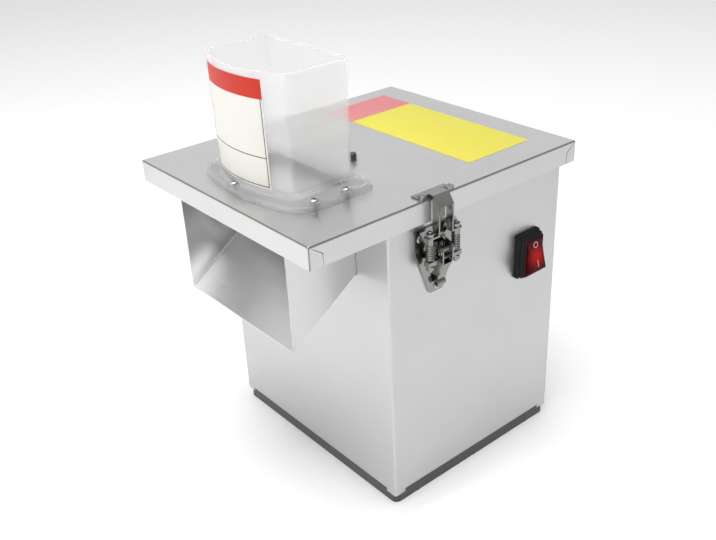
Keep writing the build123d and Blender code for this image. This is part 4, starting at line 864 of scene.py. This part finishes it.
@dataclass
class Hopper:
    """The clear hopper: walls, rim, stepped foot and a flange with a raised lip.

    Its places are measured from the front of the lid, and its heights from the top of the lid.
    """

    half: float = 55.0
    front: float = 26.5
    back: float = 101.5
    sweep: float = 115.0
    corner: float = 5.0
    wall: float = 2.6
    draft: float = 0.8
    back_grow: float = 1.5
    rim_flat: float = 0.9
    rim_round: float = 0.3
    step: float = 5.0
    flange: float = 5.0
    flange_overhang: float = 0.4
    flange_sweep: float = 180.0
    flange_corners: Pair = (26.0, 13.0)
    lobe_at: Pair = (66.0, 93.0)
    lobe_radius: float = 11.5
    boss_radius: float = 5.2
    screw_bore: float = 2.15

    def __post_init__(self) -> None:
        """Reads the hopper's place from the frame."""
        low, high = limits("hopper")
        self.base, self.top = low.z, high.z
        self.flange_left, self.flange_front = low.x, low.y
        self.lid_front = limits("lid_panel")[0].y
        self.flange_right = high.x - self.flange_overhang
        self.flange_back = high.y
        self.spread = (self.top - self.base) * math.tan(math.radians(self.draft))

    def wall_ring(self, grow: float, z: float) -> Ring:
        """Gives the outline of the walls.

        Args:
            grow: How far it is grown outwards.
            z: Its height above the lid.

        Returns:
            The ring of points.
        """
        front = self.lid_front + self.front - grow
        back = self.lid_front + self.back + min(grow, self.back_grow)
        corner = self.corner + grow
        plan = d_outline(self.half + grow, front, back, self.sweep + grow, (corner, corner))
        return [(x, y, self.base + z) for x, y in plan]

    def flange_ring(self, grow: float, z: float) -> Ring:
        """Gives the outline of the flange.

        Args:
            grow: How far it is grown outwards.
            z: Its height above the lid.

        Returns:
            The ring of points.
        """
        half = (self.flange_right - self.flange_left) / 2
        middle = (self.flange_right + self.flange_left) / 2
        near, far = self.flange_corners
        plan = d_outline(
            half + grow,
            self.flange_front - grow,
            self.flange_back + grow,
            self.flange_sweep + grow,
            (near + grow, far + grow),
            middle,
        )
        return [(x, y, self.base + z) for x, y in plan]

    def grown(self, z: float) -> float:
        """Gives how far the outer wall has spread at a height above the lid."""
        return self.spread * z / (self.top - self.base)

    def moulding(self) -> bpy.types.Object:
        """Models the hopper as one skin, up inside, over the rim and down outside to the flange.

        Returns:
            The mesh object.
        """
        high, wall, flange, step = self.top - self.base, self.wall, self.flange, self.step
        below_rim, two_thirds, one_third = high - 0.9, high * 0.75, high * 0.4
        edge, drop = 0.25, self.rim_round
        over_rim = ((edge, drop), (self.rim_flat, 0.0), (wall - self.rim_flat, 0.0), (wall - edge, drop))
        cove = ((0.5, 3.0), (1.5, 2.1), (step - 0.8, 1.8), (step, 1.1), (step, 0.6))
        lip = ((-3.0, -0.1), (-2.5, 0.35), (-2.1, 0.5), (-1.3, 0.45), (-0.5, -0.1), (0.0, -1.1))
        rings = [self.wall_ring(-wall, 0.0)]
        rings += [self.wall_ring(self.grown(z) - wall, z) for z in (8.0, one_third, two_thirds, below_rim)]
        rings += [self.wall_ring(self.spread - wall + inset, high - down) for inset, down in over_rim]
        rings += [self.wall_ring(self.grown(z), z) for z in (below_rim, two_thirds, one_third, flange + 4.2)]
        rings += [self.wall_ring(grow, flange + z) for grow, z in cove]
        rings.append(self.wall_ring(step + 0.6, flange - 0.1))
        rings += [self.flange_ring(grow, flange + z) for grow, z in lip]
        rings += [self.flange_ring(0.0, 0.5), self.flange_ring(-0.4, 0.0)]
        return loft("hopper_moulding", rings, closed=True)

    def bosses(self, holes: Sequence[Pair]) -> list[bpy.types.Object]:
        """Models the screw bosses and the round lobe at the back of the flange.

        Args:
            holes: Where the screws go.

        Returns:
            The mesh objects.
        """
        pieces = []
        radius = self.boss_radius
        profile = ((radius, 0.3), (radius, 6.6), (radius - 0.3, 7.2), (radius - 0.9, 7.5))
        for x, y in holes:
            pieces.append(turned("boss", profile, Vector((x, y, self.base)), UP, 28))
        x, y = self.lobe_at
        outer, top = self.lobe_radius, self.flange + 1.6
        profile = (
            (outer, 0.3),
            (outer, top - 0.5),
            (outer - 0.5, top),
            (outer - 1.3, top),
            (outer - 1.8, top - 0.5),
            (outer - 1.8, self.flange - 0.6),
        )
        pieces.append(turned("lobe", profile, Vector((x, y + self.lid_front, self.base)), UP, 40))
        return pieces

    def film(self, name: str, x: Pair, z: Pair) -> bpy.types.Object:
        """Models a thin film that follows the bowed front of the hopper.

        Args:
            name: The piece's name.
            x: Where it starts and ends across the front.
            z: Where it starts and ends in height.

        Returns:
            The mesh object.
        """
        columns, rows, lift, thick = 24, 6, 0.12, 0.16
        bpy.ops.object.select_all(action="DESELECT")
        bpy.ops.mesh.primitive_grid_add(x_subdivisions=columns, y_subdivisions=rows, size=1)
        obj = bpy.context.object
        obj.name = obj.data.name = name
        for vert in obj.data.vertices:
            at_x = x[0] + (vert.co.x + 0.5) * (x[1] - x[0])
            at_z = z[0] + (vert.co.y + 0.5) * (z[1] - z[0])
            radius = self.sweep + self.grown(at_z - self.base) + lift
            y = self.lid_front + self.front + self.sweep - math.sqrt(radius**2 - at_x**2)
            vert.co = Vector((at_x, y, at_z)) * MM
        use_modifier(obj, "SOLIDIFY", thickness=thick * MM, offset=0.0)
        return obj

    def dress(self, shop: Workshop) -> None:
        """Builds the hopper with its bosses and screw holes, then its label.

        Args:
            shop: The workshop that fits them.
        """
        shell = self.moulding()
        heads = solids_of("hopper_screws")
        holes = [((low.x + high.x) / 2, (low.y + high.y) / 2) for low, high in heads]
        combine(shell, self.bosses(holes), "UNION")
        bore = ((self.screw_bore, -1.0), (self.screw_bore, 9.0))
        drills = [turned("drill", bore, Vector((x, y, self.base)), UP, 20) for x, y in holes]
        combine(shell, drills, "DIFFERENCE")
        shop.place(smooth(shell, 50), CLEAR_PLASTIC, "hopper")
        label = HopperLabel()
        film = self.film("hopper_label", label.x, tuple(self.base + z for z in label.z))
        shop.place(film, label.finish(self.base), near="hopper")


@dataclass
class HopperLabel:
    """The blank film on the front of the hopper: a red band over a framed white field."""

    x: Pair = (-44.0, 36.0)
    z: Pair = (8.5, 99.0)
    band: float = 83.0
    divider: float = 34.5
    frame_inset: float = 1.4
    line: float = 0.8
    red: str = "C42A12"
    black: str = "202020"

    def finish(self, base: float) -> PrintedFilm:
        """Gives the print of the label.

        Args:
            base: The height of the top of the lid.

        Returns:
            The printed vinyl, white where there is no ink.
        """
        line = self.line
        left, right = self.x[0] + self.frame_inset, self.x[1] - self.frame_inset
        bottom, top = base + self.z[0] + self.frame_inset, base + self.band
        blocks = [(self.red, (self.x[0] - 1, top), (self.x[1] + 1, base + self.z[1] + 1))]
        for z in (bottom, base + self.divider):
            blocks.append((self.black, (left, z), (right, z + line)))
        for x in (left, right - line):
            blocks.append((self.black, (x, bottom), (x + line, top)))
        return PrintedFilm(
            "printed_vinyl_label",
            "E2E0D9",
            0.4,
            0.0,
            0.01,
            30,
            0.6,
            0.01,
            specular=0.3,
            axes=(0, 2),
            blocks=tuple(blocks),
        )


@dataclass
class LidSticker:
    """The blank two-colour film on the lid."""

    x: Pair = (-105.0, 94.0)
    y: Pair = (13.0, 91.0)
    red_end: float = -64.0
    lift: float = 0.02
    thick: float = 0.15
    corner: float = 1.5

    def model(self, top: float) -> bpy.types.Object:
        """Models the film on the lid.

        Args:
            top: The height of the top of the lid.

        Returns:
            The mesh object.
        """
        half_x, half_y = (self.x[1] - self.x[0]) / 2, (self.y[1] - self.y[0]) / 2
        middle_x, middle_y = (self.x[1] + self.x[0]) / 2, (self.y[1] + self.y[0]) / 2
        plan = rounded_rectangle(half_x, half_y, self.corner)
        heights = (top + self.lift, top + self.thick)
        return loft("lid_sticker", [[(x + middle_x, y + middle_y, z) for x, y in plan] for z in heights])

    def finish(self) -> PrintedFilm:
        """Gives the print of the film: red at the hinge end and yellow on the rest."""
        red = ("CA7477", (self.x[0] - 1, self.y[0] - 1), (self.red_end, self.y[1] + 1))
        return PrintedFilm(
            "printed_vinyl_sticker", "D1C83A", 0.4, 0.0, 0.02, 40, 0.6, 0.01, specular=0.3, blocks=(red,)
        )

    def dress(self, shop: Workshop) -> None:
        """Builds the film on the lid."""
        shop.place(self.model(limits("hopper")[0].z), self.finish(), near="lid_panel")


@dataclass
class Switch:
    """The sealed rocker switch: a stepped bezel and a rocker with its two marks.

    The steps of the bezel are (inset, distance out of the panel, corner radius).
    """

    steps: tuple[Point, ...] = (
        (0.0, 0.0, 2.4),
        (0.0, 3.0, 2.4),
        (0.4, 3.6, 2.2),
        (1.2, 4.0, 2.0),
        (1.5, 4.3, 2.2),
        (1.5, 7.0, 2.2),
        (1.9, 7.7, 2.0),
        (2.7, 8.0, 1.8),
        (2.9, 8.3, 2.0),
        (2.9, 9.6, 2.0),
        (3.2, 10.2, 1.8),
    )
    top_inset: float = 3.8
    top_corner: float = 1.6
    well_room: float = 0.35
    well_belly: float = 7.5
    well_floor: float = 1.2
    back_inset: float = 4.0
    back_out: float = 0.6
    axis_out: float = 3.5
    rocker_inset: float = 1.3
    rocker_radius: float = 18.4
    rocker_face: float = 11.0
    rocker_foot: float = 2.4
    rocker_edge: float = 0.6
    waist: float = 4.9
    dish: float = 0.6
    tilt: float = 13.0
    ring_at: float = 9.6
    ring_radii: Pair = (2.3, 3.0)
    bar_at: float = -8.6
    bar_half: Pair = (0.42, 3.2)
    ink_depths: Pair = (-0.1, 0.06)

    def __post_init__(self) -> None:
        """Reads the switch's place from the frame."""
        low, high = limits("switch_bezel")
        self.panel, self.proud = low.x, high.x - low.x
        self.middle = (low + high) / 2
        self.half_y, self.half_z = (high.y - low.y) / 2, (high.z - low.z) / 2
        low, high = limits("switch_rocker")
        self.axis = self.panel + self.axis_out
        self.rocker_half = (high.y - low.y) / 2 - self.rocker_inset

    def frame_ring(self, half_y: float, half_z: float, corner: float, out: float) -> Ring:
        """Gives a rounded rectangle about the switch's middle.

        Args:
            half_y: Half of its width.
            half_z: Half of its height.
            corner: The radius of its corners.
            out: How far out of the panel it is.

        Returns:
            The ring of points.
        """
        plan = rounded_rectangle(half_y, half_z, corner)
        return [(self.panel + out, self.middle.y + y, self.middle.z + z) for y, z in plan]

    def bezel(self) -> bpy.types.Object:
        """Models the bezel as one skin over its steps and down into the well.

        Returns:
            The mesh object.
        """
        half_y, half_z, proud = self.half_y, self.half_z, self.proud
        rings = []
        for inset, out, corner in self.steps + ((self.top_inset, proud, self.top_corner),):
            rings.append(self.frame_ring(half_y - inset, half_z - inset, corner, out))
        well = (
            (0.5, -0.5, proud),
            (0.1, -0.8, proud - 0.3),
            (0.0, -0.7, proud - 1.0),
            (0.0, 0.1, self.well_belly),
            (0.0, 0.4, self.well_floor),
        )
        for grow, room, out in well:
            across = self.rocker_half + self.well_room + grow
            rings.append(self.frame_ring(across, self.rocker_radius + room, 1.0, out))
        back_y, back_z = self.half_y - self.back_inset, self.half_z - self.back_inset
        rings.append(self.frame_ring(back_y, back_z, 1.0, self.back_out))
        return smooth(loft("switch_bezel_moulding", rings, closed=True), 50)

    def face(self, along: float) -> float:
        """Gives how far the rocker's dished face is from its axis, along its length."""
        return self.rocker_face - self.dish * (1 - (along / self.rocker_radius) ** 2)

    def tipped(self, out: float, across: float, along: float) -> Point:
        """Places a point of the rocker, tipped to its off side.

        Args:
            out: Its distance from the axis, out of the panel.
            across: Its place along the axis.
            along: Its place along the rocker's length.

        Returns:
            The point.
        """
        turn = math.radians(self.tilt)
        x = out * math.cos(turn) - along * math.sin(turn)
        z = out * math.sin(turn) + along * math.cos(turn)
        return (self.axis + x, self.middle.y + across, self.middle.z + z)

    def rocker(self) -> bpy.types.Object:
        """Models the rocker: a dished face, round ends and a waist on its axis.

        Returns:
            The mesh object.
        """
        reach, steps = self.rocker_radius, 16
        rim = math.degrees(math.acos((self.face(reach) - self.rocker_edge) / reach))
        foot = math.degrees(math.acos(self.rocker_foot / reach))
        slices = ((-1.0, 0.9), (-0.97, 0.3), (-0.92, 0.0), (0.92, 0.0), (0.97, 0.3), (1.0, 0.9))
        rings = []
        for across, inset in slices:
            size = reach - inset
            edge = size * math.sin(math.radians(rim)) - self.rocker_edge
            spots = [-edge + 2 * edge * i / steps for i in range(steps + 1)]
            outline = arc((0.0, 0.0), size, -foot, -rim, 4)
            outline += [(self.face(v) - inset, v) for v in spots]
            outline += arc((0.0, 0.0), size, rim, foot, 4)
            outline += arc((0.0, 0.0), self.waist, 68.0, 292.0, 8)
            rings.append([self.tipped(u, across * self.rocker_half, v) for u, v in outline])
        return smooth(loft("switch_rocker_moulding", rings), 40)

    def marks(self) -> bpy.types.Object:
        """Models the ring and the bar that mark off and on.

        Returns:
            The mesh object.
        """
        inner, outer = self.ring_radii
        sunk, raised = self.ink_depths
        rings = []
        for radius, lift in ((inner, sunk), (inner, raised), (outer, raised), (outer, sunk)):
            circle = arc((0.0, self.ring_at), radius, 0, 345, 23)
            rings.append([self.tipped(self.face(v) + lift, y, v) for y, v in circle])
        ring = loft("mark_off", rings, closed=True)
        plan = [(y, v + self.bar_at) for y, v in rounded_rectangle(*self.bar_half, 0.3)]
        outlines = [[self.tipped(self.face(v) + lift, y, v) for y, v in plan] for lift in self.ink_depths]
        return join("switch_marks", [ring, loft("mark_on", outlines)])

    def dress(self, shop: Workshop) -> None:
        """Builds the bezel, the rocker and the marks.

        Args:
            shop: The workshop that fits them.
        """
        shop.place(self.bezel(), SEAL_RUBBER, "switch_bezel")
        shop.place(self.rocker(), ROCKER_PLASTIC_PAINTED_GLOW, "switch_rocker")
        shop.place(self.marks(), MARK_INK, near="switch_rocker")


@dataclass(frozen=True)
class Fastener:
    """A pan-head screw with a cross recess, or a blind rivet with its pin hole."""

    head: float
    height: float
    shank: float
    recess: bool = True

    def model(self, at: Vector, along: Vector, length: float) -> bpy.types.Object:
        """Models one fastener.

        Args:
            at: Where its head seats.
            along: The direction of its shank.
            length: The length of its shank.

        Returns:
            The mesh object.
        """
        radius, height = self.head, self.height
        profile = [
            (self.shank, length),
            (self.shank, 0.0),
            (radius, 0.0),
            (radius, -height * 0.35),
            (radius * 0.93, -height * 0.7),
            (radius * 0.72, -height * 0.94),
            (radius * 0.4, -height),
        ]
        if not self.recess:
            profile += [(radius * 0.34, -height), (radius * 0.3, -height * 0.4)]
        body = turned("fastener", profile, at, along, 20)
        if self.recess:
            combine(body, self.cross(at, along), "DIFFERENCE")
        return body

    def cross(self, at: Vector, along: Vector) -> list[bpy.types.Object]:
        """Models the two bars that cut the cross recess.

        Args:
            at: Where the head seats.
            along: The direction of the shank.

        Returns:
            The mesh objects.
        """
        reach, slot, height = self.head * 0.52, 0.45, self.height
        turn = UP.rotation_difference(along).to_matrix().to_4x4()
        cuts = []
        for long, wide in ((reach, slot), (slot, reach)):
            cut = block("cut", (-long, -wide, -height - 1), (long, wide, -height * 0.45))
            cut.data.transform(Matrix.Translation(at * MM) @ turn)
            cuts.append(cut)
        return cuts


class Side(Enum):
    """Which fasteners of a node are meant, by their side of the machine."""

    LEFT = -1
    BOTH = 0
    RIGHT = 1


@dataclass(frozen=True)
class Row:
    """Fasteners of one kind that point the same way."""

    fastener: Fastener
    along: Point
    side: Side = Side.BOTH


BODY_RIVET = Fastener(3.2, 1.2, 1.6, recess=False)
FASTENER_ROWS = {
    "hopper_screws": (Row(Fastener(3.8, 2.0, 2.0), (0, 0, -1)),),
    "rear_screws": (Row(Fastener(3.6, 2.2, 1.7), (0, -1, 0)),),
    "base_screws": (Row(Fastener(4.0, 2.4, 2.0), (0, 0, 1)),),
    "body_rivets": (Row(BODY_RIVET, (1, 0, 0), Side.LEFT), Row(BODY_RIVET, (-1, 0, 0), Side.RIGHT)),
    "lid_rivets": (
        Row(Fastener(2.6, 1.0, 1.3, recess=False), (1, 0, 0), Side.LEFT),
        Row(Fastener(2.3, 0.8, 1.3, recess=False), (0, 0, -1), Side.RIGHT),
    ),
}


class Fasteners:
    """The screws and rivets that show, one piece for each node of the frame."""

    def seat(self, node: str, row: Row) -> list[bpy.types.Object]:
        """Models each fastener of a row in its place.

        Args:
            node: The CAD node that holds them.
            row: The row.

        Returns:
            The mesh objects.
        """
        along, fastener = Vector(row.along), row.fastener
        axis = max(range(3), key=lambda i: abs(along[i]))
        pieces = []
        for low, high in solids_of(node):
            middle = (low + high) / 2
            if middle.x * row.side.value < 0:
                continue
            head_end = high[axis] if along[axis] < 0 else low[axis]
            middle[axis] = head_end + along[axis] * fastener.height
            length = (high[axis] - low[axis]) - fastener.height
            pieces.append(fastener.model(middle, along, length))
        return pieces

    def dress(self, shop: Workshop) -> None:
        """Builds the screws and the rivets, node by node.

        Args:
            shop: The workshop that fits them.
        """
        for node, rows in FASTENER_ROWS.items():
            pieces = [piece for row in rows for piece in self.seat(node, row)]
            kind = "pan_head" if rows[0].fastener.recess else "domed"
            shop.place(join(f"{node}_{kind}", pieces), FIXING_STEEL, node)


@dataclass
class LatchSprings:
    """The two coil springs of the latch, with closed ends."""

    wire: float = 0.6
    turns: float = 7.0
    end_turns: float = 1.0
    steps_per_turn: int = 20

    def __post_init__(self) -> None:
        """Reads the place of the springs from the frame."""
        self.low, self.high = limits("latch_springs")
        self.mean = (self.high.x - self.low.x) / 2 - self.wire

    def wound(self, turn: float, y: float) -> Point:
        """Gives a point of the middle line of a spring's wire.

        Args:
            turn: How many turns it is from the lower end.
            y: The y of the spring's axis.

        Returns:
            The point.
        """
        start, end = self.low.z + self.wire, self.high.z - self.wire
        closed = 2 * self.wire * 1.02
        open_part = min(max(turn - self.end_turns, 0.0), self.turns) / self.turns
        from_low = min(turn, self.end_turns) * closed
        from_high = max(turn - self.end_turns - self.turns, 0.0) * closed
        height = start + from_low + from_high
        height += open_part * (end - start - 2 * self.end_turns * closed)
        angle = 2 * math.pi * turn
        x = (self.low.x + self.high.x) / 2 + self.mean * math.cos(angle)
        return (x, y + self.mean * math.sin(angle), height)

    def spring(self, name: str, y: float) -> bpy.types.Object:
        """Models one spring as a swept curve and turns it to a mesh.

        Args:
            name: The piece's name.
            y: The y of its axis.

        Returns:
            The mesh object.
        """
        curve = bpy.data.curves.new(name, "CURVE")
        curve.dimensions = "3D"
        curve.bevel_depth = self.wire * MM
        curve.bevel_resolution = 3
        curve.use_fill_caps = True
        spline = curve.splines.new("POLY")
        count = int((self.turns + 2 * self.end_turns) * self.steps_per_turn)
        spline.points.add(count)
        for i, point in enumerate(spline.points):
            point.co = (*(c * MM for c in self.wound(i / self.steps_per_turn, y)), 1.0)
        obj = bpy.data.objects.new(name, curve)
        bpy.context.scene.collection.objects.link(obj)
        only(obj)
        bpy.ops.object.convert(target="MESH")
        return bpy.context.object

    def dress(self, shop: Workshop) -> None:
        """Builds both springs.

        Args:
            shop: The workshop that fits them.
        """
        axes = (self.low.y + self.mean + self.wire, self.high.y - self.mean - self.wire)
        pieces = [self.spring(f"spring_{number}", y) for number, y in enumerate(axes)]
        shop.place(smooth(join("latch_springs_wound", pieces), 60), BRIGHT_STEEL, "latch_springs")


@dataclass
class ChuteSeams:
    """The weld beads where the floor of the chute meets its side walls."""

    radius: float = 1.2
    ripple: float = 2.2
    ripple_depth: float = 0.04
    half: float = 77.6
    length: float = 88.0
    end_gap: float = 1.0
    floor_up: float = 2.0
    bead_up: float = 0.2
    slope: float = 34.5

    def bead(self, side: int) -> bpy.types.Object:
        """Models the rippled bead along one side of the floor.

        Args:
            side: -1 for the left side and 1 for the right side.

        Returns:
            The mesh object.
        """
        low = limits("discharge_chute")[0]
        slope = math.tan(math.radians(self.slope))
        count = int(self.length / self.ripple)
        rings = []
        for i in range(count + 1):
            along = self.end_gap + (self.length - 2 * self.end_gap) * i / count
            size = self.radius * (1 - self.ripple_depth + self.ripple_depth * math.cos(math.pi * i))
            height = low.z + self.floor_up + along * slope + self.bead_up
            circle = arc((side * self.half, height), size, 0, 330, 11)
            rings.append([(x, low.y + along, z) for x, z in circle])
        return loft("bead", rings)

    def dress(self, shop: Workshop) -> None:
        """Builds both beads."""
        beads = join("chute_weld_beads", [self.bead(side) for side in (-1, 1)])
        # The beads' pale finish is a painted highlight along the seams
        shop.place(smooth(beads, 60), WELD_STEEL_PAINTED_HIGHLIGHT, near="discharge_chute")


@dataclass(frozen=True)
class Softbox:
    """A round softbox of the studio, in metres, watts and degrees."""

    name: str
    at: Point
    aim: Point
    size: float
    power: float
    spread: float = 180.0

    def hang(self) -> None:
        """Hangs the softbox so that it faces what it is aimed at."""
        lamp = bpy.data.lights.new(self.name, "AREA")
        lamp.shape = "DISK"
        lamp.size = self.size
        lamp.energy = self.power
        lamp.spread = math.radians(self.spread)
        obj = bpy.data.objects.new(self.name, lamp)
        bpy.context.scene.collection.objects.link(obj)
        obj.location = self.at
        obj.rotation_euler = (Vector(self.aim) - Vector(self.at)).to_track_quat("-Z", "Y").to_euler()


@dataclass
class Studio:
    """The pale floor, the soft lights and the camera of the photograph.

    The room is white at eye level, dimmer overhead and dimmer towards +X. Each span says over
    which part of a direction's z or x it changes.
    """

    camera_at: Point = (0.59745, -0.52033, 0.58628)
    azimuth: float = 51.21
    elevation: float = 28.14
    roll: float = -2.80
    lens: float = 45.34
    sensor: float = 36.0
    near: float = 0.02
    floor_radius: float = 3.0
    overhead: float = 0.36
    overhead_span: Pair = (0.5, 0.66)
    far_side: float = 0.5
    far_side_span: Pair = (0.1, 0.8)
    softboxes: tuple[Softbox, ...] = (
        Softbox("overhead_softbox", (0.15, -0.4, 2.3), (0.1, -0.2, 0.0), 2.0, 42.0),
        Softbox("front_softbox", (-0.1, -2.2, 1.0), (0, 0, 0.2), 1.2, 8.0),
        Softbox("floor_softbox", (-0.7, -0.8, 1.6), (-0.7, -0.8, 0.0), 0.9, 1.2, 60.0),
    )

    def floor(self) -> None:
        """Lays the floor under the machine."""
        bpy.ops.object.select_all(action="DESELECT")
        bpy.ops.mesh.primitive_circle_add(vertices=96, radius=self.floor_radius, fill_type="NGON")
        floor = bpy.context.object
        floor.name = "studio_floor"
        floor.data.materials.append(STUDIO_PAPER.build())

    def lights(self) -> None:
        """Hangs the softboxes, with one that shines straight down into the hopper."""
        for softbox in self.softboxes:
            softbox.hang()
        hopper = Hopper()
        mouth = (hopper.lid_front + (hopper.front + hopper.back) / 2) * MM
        Softbox("hopper_softbox", (0.0, mouth, 1.4), (0.0, mouth, 0.0), 0.2, 0.1, 16.0).hang()

    def room(self) -> None:
        """Makes the room round the machine."""
        world = bpy.data.worlds.new("studio_room")
        world.use_nodes = True
        tree = world.node_tree
        place = add_node(tree, "ShaderNodeTexCoord").outputs["Generated"]
        split = add_node(tree, "ShaderNodeSeparateXYZ", {0: place})
        low, high = self.overhead_span
        fade = add_node(
            tree,
            "ShaderNodeMapRange",
            {
                "Value": split.outputs[2],
                "From Min": low,
                "From Max": high,
                "To Min": 1.0,
                "To Max": self.overhead,
            },
            interpolation_type="SMOOTHSTEP",
        )
        low, high = self.far_side_span
        shade = add_node(
            tree,
            "ShaderNodeMapRange",
            {
                "Value": split.outputs[0],
                "From Min": low,
                "From Max": high,
                "To Min": 1.0,
                "To Max": self.far_side,
            },
        )
        both = add_node(
            tree, "ShaderNodeMath", {0: fade.outputs[0], 1: shade.outputs[0]}, operation="MULTIPLY"
        )
        background = tree.nodes["Background"]
        background.inputs[0].default_value = (1.0, 1.0, 1.0, 1.0)
        tree.links.new(both.outputs[0], background.inputs[1])
        bpy.context.scene.world = world

    def camera(self) -> None:
        """Places the camera from its direction, height and roll."""
        azimuth, elevation = math.radians(self.azimuth), math.radians(self.elevation)
        level = math.cos(elevation)
        back = Vector((math.sin(azimuth) * level, -math.cos(azimuth) * level, math.sin(elevation)))
        right = (-back).cross(UP).normalized()
        up = right.cross(-back)
        roll = math.radians(self.roll)
        side = math.cos(roll) * right + math.sin(roll) * up
        top = -math.sin(roll) * right + math.cos(roll) * up
        turn = Matrix((side, top, back)).transposed().to_4x4()
        data = bpy.data.cameras.new("camera")
        data.lens, data.sensor_width = self.lens, self.sensor
        data.clip_start = self.near
        camera = bpy.data.objects.new("camera", data)
        camera.matrix_world = Matrix.Translation(self.camera_at) @ turn
        bpy.context.scene.collection.objects.link(camera)
        bpy.context.scene.camera = camera

    def build(self) -> None:
        """Sets up the studio."""
        self.camera()
        self.room()
        self.lights()
        self.floor()
        view = bpy.context.scene.view_settings
        view.view_transform = "Standard"
        view.look = "None"


def main() -> None:
    """Builds the machine's looks, part by part, then the studio."""
    shop = Workshop()
    for part in (Hopper(), LidSticker(), Switch(), Fasteners(), LatchSprings(), ChuteSeams()):
        part.dress(shop)
    shop.carry()
    Studio().build()


if __name__ == "__main__":
    main()
